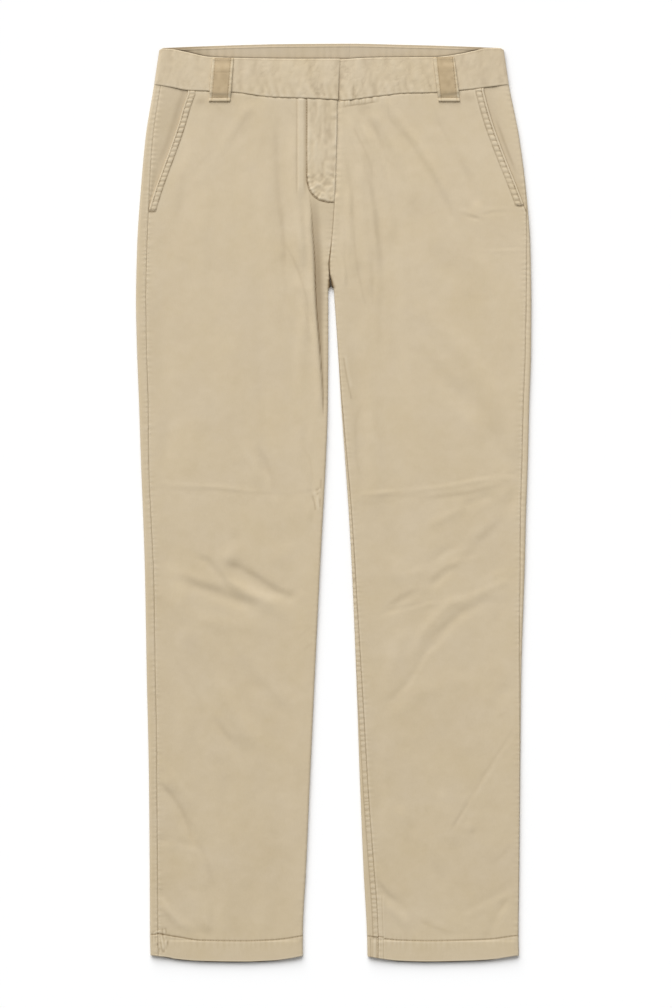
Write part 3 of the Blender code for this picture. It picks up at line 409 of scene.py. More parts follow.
         (43, 542, 0.3, 0.5), (46, 511)),
    ],
}
# depth and height at which the folds level off, what all their heights are multiplied by,
# and what makes the number of a tilt its greatest height
foldLimits = {"down": 0.0018, "up": 0.0042, "strength": 1.12, "tiltPeak": 2.33}

# Soft lines of painted shade and painted highlight on the fronts, where folds darken or catch the light:
# half width in millimetres, paleness in hundredths, then places.
shadeAndHighlightLines = {
    "right": [
        (3.2, -6, (-66, 930), (-64, 902), (-63, 874), (-61, 846), (-57, 821)),
        (2.0, -9, (-60, 835), (-57, 818), (-55, 796), (-54, 776)),
        (1.4, -9, (-54, 799), (-46, 785), (-38, 765), (-31, 743), (-27, 721)),
        (5.0, 7, (-45, 835), (-38, 810), (-34, 788), (-29, 760), (-24, 732)),
        (1.6, -4, (-92, 948), (-107, 927), (-117, 906), (-125, 895)),
        (2.2, -4, (-125, 910), (-143, 896), (-157, 881)),
        (1.5, -4, (-78, 924), (-84, 894)),
        (1.5, -7, (-134, 959), (-124, 946)),
        (3.5, -6, (-174, 877), (-163, 874)),
        (3.5, -4, (-169, 857), (-175, 832)),
        (1.5, -5, (-203, 806), (-180, 798)),
        (2.0, -5, (-182, 788), (-160, 780)),
        (2.2, 5, (-186, 785), (-170, 769)),
        (1.5, -4, (-60, 960), (-46, 944), (-41, 927)),
        (2.8, -10, (-116, 444), (-107, 441), (-90, 432), (-73, 421), (-62, 413), (-52, 411)),
        (1.5, -4, (-54, 412), (-36, 418)),
        (3.5, -6, (-164, 428), (-151, 420), (-135, 415), (-121, 412)),
        (5.0, 4, (-79, 409), (-66, 399)),
        (4.0, 6, (-86, 398), (-75, 395), (-63, 391)),
        (7.0, 4, (-181, 435), (-177, 406)),
        (2.6, 6, (-198, 534), (-182, 535), (-161, 532)),
        (1.5, -4, (-197, 528), (-162, 525), (-135, 525)),
        (3.0, -8, (-85, 576), (-76, 559), (-70, 542), (-65, 523)),
        (3.2, 5, (-103, 580), (-93, 562), (-84, 544)),
        (1.8, -7, (-36, 577), (-26, 559), (-23, 533)),
        (2.5, 5, (-21, 576), (-20, 545)),
        (1.6, -7, (-40, 361), (-24, 374)),
        (1.6, -7, (-36, 345), (-22, 357)),
        (2.4, -11, (-190, 197), (-180, 186), (-169, 169), (-162, 152), (-159, 138)),
        (3.0, -6, (-159, 141), (-148, 128), (-140, 110), (-135, 84)),
        (3.0, 4, (-178, 209), (-163, 188), (-145, 173)),
        (3.2, 5, (-189, 127), (-171, 127), (-150, 123)),
        (1.5, 8, (-192, 73), (-183, 58), (-169, 41), (-153, 32)),
        (2.0, -5, (-189, 56), (-179, 43), (-169, 34)),
        (1.5, -6, (-151, 56), (-141, 36)),
        (4.0, -5, (-178, 337), (-163, 318), (-150, 291), (-145, 273)),
        (2.4, -7, (-131, 269), (-121, 255), (-114, 245)),
        (2.2, -4, (-141, 241), (-126, 220)),
        (4.5, 5, (-138, 308), (-127, 284), (-107, 266)),
        (5.0, -4, (-99, 322), (-92, 304)),
    ],
    "left": [
        (1.5, -11, (22, 930), (26, 921), (33, 908), (40, 892), (44, 874)),
        (2.8, -5, (35, 902), (41, 882), (43, 854), (44, 829), (49, 810), (52, 788), (52, 771)),
        (2.4, -9, (40, 940), (49, 924), (56, 903)),
        (1.4, -6, (56, 898), (62, 891), (72, 883)),
        (1.4, -7, (59, 965), (62, 940), (72, 928)),
        (2.6, -6, (72, 928), (81, 920), (92, 903), (103, 887)),
        (2.0, -5, (111, 955), (117, 935), (130, 912)),
        (4.5, -6, (138, 899), (148, 882), (153, 861)),
        (2.4, -6, (13, 900), (16, 877), (20, 854), (22, 821)),
        (1.4, -8, (22, 821), (24, 788), (28, 765), (33, 740), (36, 732)),
        (1.4, -5, (42, 771), (44, 726)),
        (5.0, -5, (83, 850), (91, 843)),
        (1.4, -5, (106, 832), (117, 837)),
        (1.8, -9, (154, 832), (163, 828)),
        (2.0, -6, (182, 810), (195, 806)),
        (1.4, -4, (174, 822), (206, 815)),
        (2.2, 5, (125, 530), (161, 537), (196, 538)),
        (2.4, -8, (108, 518), (130, 520), (150, 522), (173, 528)),
        (1.6, -4, (40, 517), (84, 520)),
        (2.6, -6, (187, 513), (200, 529)),
        (3.0, -6, (158, 466), (172, 481), (185, 491)),
        (2.6, 6, (115, 443), (127, 455), (143, 459)),
        (2.8, -7, (107, 424), (117, 435), (130, 442), (139, 440)),
        (3.2, -8, (60, 397), (74, 407), (92, 414)),
        (1.6, -5, (155, 432), (161, 443)),
        (5.0, -5, (183, 399), (177, 374)),
        (2.0, -6, (30, 623), (24, 598), (25, 562), (30, 537)),
        (1.5, -9, (133, 152), (143, 167), (153, 181)),
        (1.4, -5, (153, 181), (170, 213), (186, 238), (204, 268)),
        (1.5, 6, (154, 177), (171, 204), (187, 229)),
        (2.0, -6, (179, 271), (198, 281)),
        (1.5, -6, (187, 198), (201, 193)),
        (2.6, -6, (102, 173), (105, 165)),
        (4.0, -5, (93, 155), (82, 145)),
        (3.6, -7, (151, 144), (159, 146)),
        (2.6, -6, (175, 109), (188, 119), (198, 132)),
        (2.6, -6, (181, 81), (201, 94)),
        (1.7, -8, (178, 50), (193, 70)),
        (1.5, 7, (182, 36), (194, 55), (203, 68)),
        (1.7, -6, (51, 89), (60, 77), (74, 66)),
        (1.7, -6, (64, 48), (81, 31)),
        (1.9, -9, (92, 48), (110, 39), (131, 33)),
        (1.5, 4, (109, 47), (131, 40)),
        (1.5, 4, (62, 53), (75, 36)),
    ],
}


def foldRelief(half, x, h):
    total = np.zeros(np.broadcast(x, h).shape)
    for wide, *line in folds[half]:
        table = np.array([(*point, 0, 0)[:4] for point in line]) / 1000
        distance, side, place = nearLine(x, h, table[:, :2])
        before = np.minimum(place.astype(int), len(line) - 2)
        share = smooth(place - before)
        ridge = mix(table[before, 2], table[before + 1, 2], share)
        tilt = mix(table[before, 3], table[before + 1, 3], share)
        u = distance * 1000 / wide
        total += (ridge + foldLimits["tiltPeak"] * tilt * side * u) * bell(u)
    total *= foldLimits["strength"]
    down, up = foldLimits["down"], foldLimits["up"]
    return np.where(total < 0, down * np.tanh(total / down), up * np.tanh(total / up))


def edgeThickness(half, edge, h):
    laid = thickness("laid", h)
    if half == "right" and edge == "inner":
        laid = laid - leg["thighDrop"] * thighFold("strength", h)
    return laid


def flyLine(h):
    down = np.clip((leg["flyCurveTop"] - h) / (leg["flyCurveTop"] - leg["flyBottom"]), 0, 1)
    power = leg["flyPower"]
    return mix(centre("front", h), leg["flyStitch"], (1 - down ** power) ** (1 / power))


def frontHeight(half, x, h):
    # outer surface of the upper layer over the floor
    laid = thickness("laid", h)
    outer = np.abs(outline(half, h)) - np.abs(x) - laid / 2
    isLeg = h < trousers["crotch"]
    inner = np.abs(x - np.where(isLeg, innerEdge(half, h), centre("front", h))) - laid / 2
    held = np.where(isLeg, 0.0, smooth((h - trousers["crotch"]) / leg["lapJoin"]))
    low, high = leg["sagTop"]

    def fade(reach):
        return smooth(outer / reach) * mix(smooth(inner / reach), 1.0, held)

    level = laid - fade(leg["sagReach"]) * leg["sag"] * (1 - smooth((h - low) / (high - low)))
    level += fade(leg["foldReach"]) * foldRelief(half, x, h)
    hem = smooth(outer / 0.004) * smooth(inner / 0.004) * smooth((leg["hemDepth"] - h) / 0.002 + 0.5)
    level += leg["hemExtra"] * hem
    if half == "right":
        step = smooth((x - thighFold("edge", h)) / leg["thighStep"] + 0.5)
        level -= leg["thighDrop"] * thighFold("strength", h) * step
        flyLayer = smooth((x - flyLine(h)) / 0.003 + 0.5)
        level += np.where(h > leg["flyBottom"], leg["flyExtra"] * flyLayer, 0.0)
    else:
        start, dropped = leg["underlapLevels"][:2]
        down = smooth((h - start) / (dropped - start))
        level -= leg["underlapDrop"] * down * smooth((centre("front", h) + 0.006 - x) / 0.005)
    return level


def roundEdge(half, edge, h, turn):
    # place of the cloth turn metres round it from its outermost line: x, z and lean
    if edge == "outer":
        outermost, out = outline(half, h), trousers["sides"][half]
    else:
        outermost, out = innerEdge(half, h), -trousers["sides"][half]
    radius = edgeThickness(half, edge, h) / 2
    quarter = math.pi * radius / 2
    angle = np.clip(turn / radius, -math.pi / 2, math.pi / 2)
    x = outermost - out * (radius * (1 - np.cos(angle)) + np.maximum(np.abs(turn) - quarter, 0))
    z = np.where(turn > quarter, frontHeight(half, x, h), radius * (1 + np.sin(angle)))
    return x, z, out * (math.pi / 2 - angle)


def centreRoll(half, layer, h, away):
    # near a centre seam, where both layers turn towards each other at the crotch
    side = trousers["sides"][half]
    angle = math.pi / 2 * (1 - smooth((h - trousers["crotch"]) / leg["rollLength"]))
    radius = edgeThickness(half, "inner", h) / 2
    left = np.where(away > 0, np.maximum(angle - away / radius, 0.0), angle)
    out = (radius * (np.sin(angle) - np.sin(left)) + np.maximum(away - radius * angle, 0.0)
           + np.minimum(away, 0.0))
    turn = radius * (1 - np.cos(left))
    x = centre(layer, h) + side * out
    if layer == "front":
        return x, frontHeight(half, x, h) - turn, -side * left
    return x, turn, -side * (math.pi - left)


def innerPlace(half, layer, h, away):
    # away metres round the cloth from the inner seam
    seam = seamTurn(half + "_inseam", h)
    below = roundEdge(half, "inner", h, seam + away if layer == "front" else seam - away)
    above = centreRoll(half, layer, h, away)
    return [np.where(h >= trousers["crotch"], high, low) for low, high in zip(below, above)]


def hemShare(half, x):
    # 0 at the outer end of the hem and 1 at the inner
    outer = outline(half, 0.0)
    return (x - outer) / (innerEdge(half, 0.0) - outer)


def hemRise(half, x, h):
    return hemBow(half, hemShare(half, x)) * (1 - smooth(h / leg["bowFade"]))


def rowHeight(half, layer, x, row):
    # height of a row of the cloth; the last row is the waistband seam
    seam = bandFront[half]("seam", x) if layer == "front" else bandBack("seam", x)
    drop = seam - trousers["seamGap"] / 2 - trousers["bandSide"]
    share = smooth((row - leg["dropStart"]) / (trousers["bandSide"] - leg["dropStart"]))
    return row + hemRise(half, x, row) + drop * share


def outerPlace(half, row, turn):
    # place of a row turn metres round the outer fold from its outermost line: x, h, z and lean
    out = trousers["sides"][half]
    radius = edgeThickness(half, "outer", row) / 2
    quarter = math.pi * radius / 2
    start = outline(half, row) - out * radius
    share = np.clip((quarter - turn) / (2 * quarter), 0, 1)
    onFront = rowHeight(half, "front", start - out * np.maximum(turn - quarter, 0), row)
    h = mix(onFront, rowHeight(half, "back", start, row), share)
    x, z, lean = roundEdge(half, "outer", h, turn)
    return x, h, z, lean


def outerSeam(half, h):
    # outer edge of the front: the outseam, or the pocket opening above its end
    seam = seamTurn(half + "_outseam", h)
    radius = edgeThickness(half, "outer", h) / 2
    inset = np.abs(outline(half, h)) - np.abs(pocketEdge(half, h))
    opening = np.maximum(seam, math.pi * radius / 2 + inset - radius)
    return np.where(h > leg["openingEnd"], opening, seam)


print("laid form ready")


# cloth as a closed thin wall

def thinned(groups):
    # column or row numbers to keep for the hidden inner face: (count, keep every) for each group
    kept, start = [], 0
    for count, every in groups:
        kept += list(range(start, start + count, every))
        start += count
    return sorted(set(kept + [start - 1]))


def addObject(name, data):
    made = bpy.data.objects.new(name, data)
    bpy.context.scene.collection.objects.link(made)
    return made


def makeCloth(name, cloth, wall, keptRows, keptColumns, material):
    place, outwards = cloth["place"], cloth["outwards"]
    rowCount, columnCount = place.shape[:2]
    inner = (place - wall * outwards)[np.ix_(keptRows, keptColumns)]
    face = np.arange(rowCount * columnCount).reshape(rowCount, columnCount)
    hidden = face.size + np.arange(len(keptRows) * len(keptColumns)).reshape(len(keptRows), -1)

    def quads(grid):
        return np.stack([grid[:-1, :-1], grid[:-1, 1:], grid[1:, 1:], grid[1:, :-1]], -1).reshape(-1, 4)

    polygons = quads(face).tolist() + quads(hidden)[:, ::-1].tolist()
    # the four sides of the wall, each face from one kept point to the next
    for edge, hiddenEdge, kept, turned in (
            (face[0], hidden[0], keptColumns, True), (face[-1], hidden[-1], keptColumns, False),
            (face[:, 0], hidden[:, 0], keptRows, False), (face[:, -1], hidden[:, -1], keptRows, True)):
        for k in range(len(kept) - 1):
            side = edge[kept[k]:kept[k + 1] + 1].tolist() + [int(hiddenEdge[k + 1]), int(hiddenEdge[k])]
            polygons.append(side[::-1] if turned else side)
    mesh = bpy.data.meshes.new(name)
    mesh.from_pydata(np.concatenate([place.reshape(-1, 3), inner.reshape(-1, 3)]), [], polygons)
    both = {key: np.concatenate([cloth[key].reshape(face.size, -1),
                                 cloth[key][np.ix_(keptRows, keptColumns)].reshape(hidden.size, -1)])
            for key in ("tone", "flat")}
    tone = mesh.attributes.new("tone", "FLOAT", "POINT")
    tone.data.foreach_set("value", both["tone"].astype(np.float32).ravel())
    corner = np.zeros(len(mesh.loops), dtype=np.int32)
    mesh.loops.foreach_get("vertex_index", corner)
    layer = mesh.uv_layers.new(name="cloth")
    layer.data.foreach_set("uv", both["flat"][corner].astype(np.float32).ravel())
    mesh.shade_smooth()
    mesh.set_sharp_from_angle(angle=math.radians(60))
    mesh.materials.append(material)
    print(name, len(mesh.polygons), "faces")
    return addObject(name, mesh)


def finishCloth(x, h, z, lean, relief, tone):
    # moves the points out along the surface, and measures the cloth across each row
    up = (1 + np.cos(lean)) / 2                       # the underside stays flat
    outwards = np.stack([np.sin(lean), np.zeros_like(lean), np.cos(lean)], -1)
    place = np.stack([x, h - trousers["length"] / 2, z], -1) + (relief * up)[..., None] * outwards
    steps = np.hypot(np.diff(x, axis=1), np.diff(z, axis=1))
    across = np.concatenate([np.zeros((len(x), 1)), np.cumsum(steps, axis=1)], axis=1)
    across += (x - across)[:, x.shape[1] // 2][:, None]
    return {"place": place, "outwards": outwards, "tone": np.clip(tone, -2, 1),
            "flat": np.stack([across, h], -1)}


def edgeRound(distance, width=0.0010, depth=0.0004):
    return -depth * np.clip(1 - distance / width, 0, 1) ** 2


def strip(x, h, z, lean, row, **distances):
    # the points of a strip of cloth, each kind as one array of rows and columns
    values = {"x": x, "h": h, "z": z, "lean": lean, "row": row, **distances}
    return {name: value + 0 * x * h for name, value in values.items()}


def mirrored(parts):
    # the same strip with its columns in the other order
    return [part[:, ::-1] for part in parts]


# fronts

front = {
    "seed": {"right": 10, "left": 40},
    "edgeSteps": (0, 0.0003, 0.0007, 0.0012, 0.0017, 0.0023, 0.0030, 0.0038, 0.0047, 0.0057, 0.0067,
                  0.0078, 0.0090, 0.0105),
    "rows": ((0, 0.003, 6), (0.003, 0.0206, 14), (0.0206, 0.0258, 9), (0.0258, 0.060, 26),
             (0.060, 0.738, 400), (0.738, 0.790, 46), (0.790, 0.840, 36), (0.840, 0.9745, 112),
             (0.9745, 0.977, 6)),
    "bodyShares": {"right": ((0, 0.76, 52), (0.76, 1, 42)), "left": ((0, 0.20, 30), (0.20, 1, 66))},
    "pocketStitches": {"right": (0.0018, 0.0074), "left": (0.0025, 0.0083)},
    "rungs": {"right": 0.0055, "left": 0.0061},   # pitch of the puckers between them
    "edgeStitch": 0.0017,
    "hemJoin": 0.0560,             # where the left hem's two turns meet, and the step between them
    "hemStep": 0.0016,
    # creases gathered round the right hem's outseam, then the pale ridges between them
    "hemCreases": (((-0.1941, 0.0313), (-0.1931, 0.0258), (-0.1913, 0.0146), (-0.1903, 0.0108)),
                   ((-0.1907, 0.0303), (-0.1888, 0.0230), (-0.1882, 0.0161), (-0.1888, 0.0111)),
                   ((-0.1972, 0.0198), (-0.1964, 0.0192)), ((-0.1941, 0.0138), (-0.1941, 0.0105)),
                   ((-0.1872, 0.0279), (-0.1877, 0.0237)), ((-0.1848, 0.0230), (-0.1869, 0.0133)),
                   ((-0.2005, 0.0334), (-0.1981, 0.0346), (-0.1941, 0.0356)),
                   ((-0.1907, 0.0362), (-0.1903, 0.0328)), ((-0.1876, 0.0369), (-0.1869, 0.0321))),
    "hemRidges": (((-0.1921, 0.0272), (-0.1910, 0.0210), (-0.1897, 0.0146)),
                  ((-0.1885, 0.0272), (-0.1876, 0.0230), (-0.1872, 0.0127)),
                  ((-0.1890, 0.0345), (-0.1889, 0.0325)), ((-0.1990, 0.0330), (-0.1950, 0.0342))),
    "hemStripes": ((0.0411, -0.8, 0.0006), (0.0433, -0.4, 0.0006), (0.0454, 0.7, 0.0012),
                   (0.0478, -0.5, 0.0006), (0.0492, -1.0, 0.0007), (0.0506, 0.5, 0.0006),
                   (0.0526, -0.6, 0.0006), (0.0540, 0.5, 0.0006), (0.0551, -0.8, 0.0006)),
    # the same where the right leg's inner edge is gathered over the knee
    "kneeCreases": (((-0.0166, 0.5272), (-0.0194, 0.5254)), ((-0.0186, 0.5212), (-0.0180, 0.5212)),
                    ((-0.0236, 0.5185), (-0.0212, 0.5100), (-0.0206, 0.5040)),
                    ((-0.0150, 0.5150), (-0.0152, 0.5070)), ((-0.0140, 0.5370), (-0.0142, 0.5262))),
    "kneeRidges": (((-0.0150, 0.5260), (-0.0155, 0.5248)), ((-0.0216, 0.5226), (-0.0206, 0.5206)),
                   ((-0.0182, 0.5178), (-0.0180, 0.5080)), ((-0.0168, 0.5089), (-0.0168, 0.5040))),
    # and where a thin fold leaves the left leg's inner edge
    "thighCreases": (((0.0112, 0.6720), (0.0140, 0.6540), (0.0172, 0.6380), (0.0196, 0.6280)),),
    "thighRidges": (((0.0132, 0.6740), (0.0166, 0.6540), (0.0192, 0.6420)),),
    # strength and width of the shade under the inner thigh fold, and of the shade
    # that fills the strip beside it where the fold runs out, by height
    "foldShade": ((0.605, 0), (0.620, 0.6), (0.670, 0.8), (0.700, 1.0), (0.765, 1.0), (0.800, 0.80),
                  (0.835, 0.55), (0.862, 0)),
    "shadeWidth": ((0.62, 0.2), (0.70, 0.6), (0.74, 1.0)),
    "closingShade": ((0.600, 0), (0.625, 0.20), (0.655, 0.25), (0.700, 0.12), (0.750, 0.03)),
    # height and half width of the hollow where the legs part
    "crotchShade": ((0.750, 0.0030), (0.756, 0.0025), (0.762, 0.0016), (0.770, 0.0012),
                    (0.777, 0.0019), (0.783, 0.0010), (0.800, 0.0003)),
    "hemPale": {"right": 0.035, "left": 0.07},
    "hemJoinTop": 0.073,
    "hemJoinLean": 0.0024,         # the join stands this much nearer the inseam at its top
    # place and depth of the shade beside the belt loop's lower end
    "loopShade": {"right": (-0.1480, 0.9585, 0.22), "left": (0.1500, 0.9625, 0.15)},
    "puckerPeriod": 0.0060,
    "flyTop": 0.9605,              # where the fly's stitch begins
    "flyRidge": (0.848, 0.966),    # heights between which a soft ridge runs beside the fly
    "flyRidgeAcross": (-0.0362, -0.0312, -0.0409),   # the ridge, and the valley on each side of it
}


def stretches(parts):
    # evenly spaced numbers in each part, without the last of each but the final one
    return np.concatenate([np.linspace(low, high, count, endpoint=False) for low, high, count in parts]
                          + [[parts[-1][1]]])


def jLine():
    # the fly's stitch: straight down, then round to the edge
    power = leg["flyPower"]
    points = [(leg["flyStitch"], front["flyTop"])]
    for angle in np.linspace(0, math.pi / 2, 15):
        down, share = math.sin(angle) ** (2 / power), max(math.cos(angle), 0.0) ** (2 / power)
        h = mix(leg["flyCurveTop"], leg["flyBottom"], down)
        points.append((float(mix(centre("front", h), leg["flyStitch"], share)), float(h)))
    return points


def seamMarks(distance, along, seed, groove=0.0003, dark=0.42, pale=0.16, reach=0.005):
    # groove of a sewn seam, with the paler worn ridge and the puckers beside it
    wave = puckers(along, front["puckerPeriod"], seed) * bell(distance / reach)
    uneven = 0.75 + 0.35 * wander(along / 0.013, seed + 1) + 0.25 * wander(along / 0.0021, seed + 2)
    relief = -groove * bell(distance / 0.0008) + 0.00018 * wave
    tone = (-dark * uneven * bell(distance / 0.0007) + pale * bell((distance - 0.0016) / 0.0008)
            + 0.15 * wave * smooth(distance / 0.001))
    return relief, tone


def frontOuter(half, row, step):
    seam = outerSeam(half, outerPlace(half, row, 0.0)[1])
    x, h, z, lean = outerPlace(half, row, seam + trousers["seamGap"] / 2 + step)
    return strip(x, h, z, lean, row, fromSeam=step, fromInner=np.abs(x - centre("front", h)))


def frontInner(half, row, step):
    start = 0.0
    if half == "left":
        dropped, full = leg["underlapLevels"][1:]
        start = start - leg["underlap"] * smooth((row - dropped) / (full - dropped))
    h = rowHeight(half, "front", innerPlace(half, "front", row, start + step)[0], row)
    x, z, lean = innerPlace(half, "front", h, start + step)
    return strip(x, h, z, lean, row, fromSeam=np.abs(x - outline(half, h)), fromInner=start + step)


def frontBody(half, row, x):
    h = rowHeight(half, "front", x, row)
    side = trousers["sides"][half]
    radius = edgeThickness(half, "outer", h) / 2
    seamX = outline(half, h) - side * (radius - math.pi * radius / 2 + outerSeam(half, h))
    innerRadius = edgeThickness(half, "inner", h) / 2
    inseam = (innerEdge(half, h) + side * (innerRadius - math.pi * innerRadius / 2
                                           + seamTurn(half + "_inseam", h)))
    inner = np.where(h < trousers["crotch"], inseam, centre("front", h))
    return strip(x, h, frontHeight(half, x, h), 0.0, row, fromSeam=np.abs(seamX - x),
                 fromInner=side * (x - inner))


def gathered(x, h, place):
    # short sharp creases and the pale ridges between them
    dark = sum(bell(nearLine(x, h, line)[0] / 0.0009) for line in front[place + "Creases"])
    pale = sum(bell(nearLine(x, h, line)[0] / 0.0013) for line in front[place + "Ridges"])
    return np.clip(0.9 * pale - dark, -1.1, 0.9)


def hemStripes(x, h):
    # close puckers of the left hem over the inseam
    wave = sum(deep * bell((x - place) / wide) for place, deep, wide in front["hemStripes"])
    return wave * smooth((0.0270 - h) / 0.002) * (0.8 + 0.3 * wander(h / 0.006, 34))


def paintedFoldShading(half, x, h):
    # painted shade and highlight along folds, each line fading to its ends
    tone = np.zeros(np.broadcast(x, h).shape)
    for wide, paleness, *line in shadeAndHighlightLines[half]:
        distance, _, place = nearLine(x, h, np.array(line) / 1000)
        fading = smooth(2 * place) * smooth(2 * (len(line) - 1 - place))
        tone += 0.01 * paleness * (0.3 + 0.7 * fading) * bell(distance * 1000 / wide)
    return tone


def outseamMarks(half, base, seed):
    # outseam below the pocket
    below = 1 - smooth((base["h"] - leg["pocketEnd"][half]) / 0.002 + 0.5)
    relief, tone = seamMarks(base["fromSeam"], base["h"], seed + 3, pale=0.24)
    return below * relief, below * tone


def pocketMarks(half, base, seed):
    # turned pocket edge with two rows of stitches, the puckers between them and the bar tack
    x, h, fromSeam = base["x"], base["h"], base["fromSeam"]
    end = leg["pocketEnd"][half]
    pocket = smooth((h - end) / 0.002 + 0.5)
    lip = smooth((leg["lipWidth"][half] - fromSeam) / 0.002 + 0.5)
    first, second = front["pocketStitches"][half]
    between = smooth((fromSeam - first) / 0.0008) * smooth((second - fromSeam) / 0.0008)
    pitch = front["rungs"][half]
    drift = 0.22 * wander(h / (2 * pitch), seed + 5)
    rung = 1 - 2 * bell(np.sin(math.pi * (h / pitch + drift)) / 0.55)
    rung = rung * (0.75 + 0.35 * wander(h / (1.5 * pitch), seed + 6)) * between
    dotted = 0.80 + 0.35 * wander(h / 0.0022, seed + 6)
    firstRow, secondRow = bell((fromSeam - first) / 0.0006), bell((fromSeam - second) / 0.0006)
    relief = pocket * (leg["lipRise"] * lip + edgeRound(fromSeam) + 0.00035 * rung
                       - 0.00028 * (firstRow + secondRow))
    tone = pocket * (0.34 * rung - 0.08 * between - 1.05 * dotted * firstRow
                     - 0.85 * dotted * bell((fromSeam - second - 0.0003) / 0.0006)
                     + 0.30 * bell((fromSeam - 0.5 * first) / 0.0007)
                     + 0.14 * bell((fromSeam - second - 0.0022) / 0.0010))
    if half == "left":
        # painted shade along the left pocket's edge
        tone -= 0.1 * pocket * bell(fromSeam / 0.0004)
    fromTack = np.hypot((np.abs(x) - np.abs(pocketEdge(half, h)) + 0.0040) / 0.0042,
                        (h - end - 0.0010) / 0.0022)
    relief -= 0.0004 * bell(fromTack)
    tone -= 0.95 * bell((fromTack - 0.75) / 0.35) * smooth((end + 0.004 - h) / 0.004)
    return relief, tone


def hemMarks(half, base, seed):
    x, h, row = base["x"], base["h"], base["row"]
    up = row - leg["hemDepth"]
    if half == "left":
        up = up - front["hemStep"] * (x < front["hemJoin"])
        stripes = hemStripes(x, h) * smooth((front["hemJoin"] - x) / 0.001)
        relief, tone = 0.00015 * stripes, 0.50 * stripes
    else:
        up = up - 0.0020 * smooth((-0.148 - x) / 0.028) - 0.0008 * bell((x + 0.1943) / 0.0050)
        creases = gathered(x, h, "hem") + 0.7 * gathered(x, h, "knee")
        relief, tone = 0.0004 * creases, 0.46 * creases
    wave = puckers(x, 0.0065, seed + 7) * bell((up + 0.003) / 0.006)
    relief += -0.0003 * bell(up / 0.0007) + 0.00015 * wave + edgeRound(row)
    tone += -0.85 * bell(up / 0.0007) + 0.14 * bell((up + 0.0018) / 0.0009) + 0.12 * wave
    # the pale line along the hem's lower edge is partly a worn edge and partly painted highlight
    tone += front["hemPale"][half] * smooth((0.085 - h) / 0.04) + 0.45 * bell((row - 0.0007) / 0.0009)
    if half == "left":
        across = (front["hemJoin"], front["hemJoin"] - front["hemJoinLean"])
        away = x - np.interp(h, (0.0, front["hemJoinTop"]), across)
        joined = smooth((front["hemJoinTop"] + 0.003 - h) / 0.006)
        beside = np.abs(away) - 0.0013
        relief += joined * (0.0003 * bell(beside / 0.0007) - 0.0003 * bell(away / 0.0006))
        tone += joined * (0.14 * bell(beside / 0.0006) - 0.20 * bell(away / 0.0006))
    return relief, tone


def bandSeamMarks(half, base, seed):
    # waistband seam, and the shade beside the belt loop
    x, h = base["x"], base["h"]
    down = trousers["bandSide"] - base["row"]
    lap = bell((x - 0.03) / 0.035)
    wave = puckers(x, 0.0075, seed + 9) * bell(down / 0.007) * (0.5 + lap)
    dark = mix(0.42, 0.33, smooth((np.abs(x) - 0.115) / 0.03))
    across, height, depth = front["loopShade"][half]
    relief = -0.0003 * bell(down / 0.0008) + 0.00020 * wave
    tone = (0.16 * bell((down - 0.002) / 0.001) + 0.12 * wave - dark * bell(down / 0.0006)
            - depth * bell(np.hypot((x - across) / 0.0075, (h - height) / 0.0042)))
    if half == "left":
        close = smooth((x - 0.008) / 0.006) * smooth((0.050 - x) / 0.006)
        pleats = close * smooth(down / 0.001) * smooth((0.006 - down) / 0.002)
        pleats = pleats * puckers(x, 0.0034, seed + 21)
        crease = close * bell((down - 0.0068 - 0.0006 * wander(x / 0.006, 5)) / 0.0008)
        relief += 0.0002 * pleats - 0.0003 * crease
        tone += 0.34 * pleats - 0.42 * crease
    return relief, tone


def crotchShade(x, h):
    # hollow where the legs part
    heights, widths = np.array(front["crotchShade"]).T
    width = np.interp(h, heights, widths, left=1e-6, right=1e-6)
    hollow = bell(np.abs(x - centre("front", h)) / width) * smooth((h - 0.7500) / 0.0015)
    return hollow * mix(2.0, 0.7, smooth((h - 0.757) / 0.012))


def thighMarks(x, h, fromInner):
    # fold of cloth on the right inner thigh: a soft ridge, and the shade under it
    beside = x - thighFold("edge", h)
    shade, wide, closing = [np.interp(h, *np.array(front[name]).T)
                            for name in ("foldShade", "shadeWidth", "closingShade")]
    free = smooth((fromInner - 0.0005) / 0.0035)
    soft = smooth(beside / 0.0012) * (1 - smooth((beside / wide - 0.0045) / 0.0085))
    relief = 0.0013 * thighFold("strength", h) * bell((beside + 0.0032) / 0.0034)
    tone = (-shade * (0.54 * free * soft + 0.55 * bell((beside - 0.0009) / 0.0006))
            - closing * smooth((0.0065 - fromInner) / 0.0050))
    return relief, tone


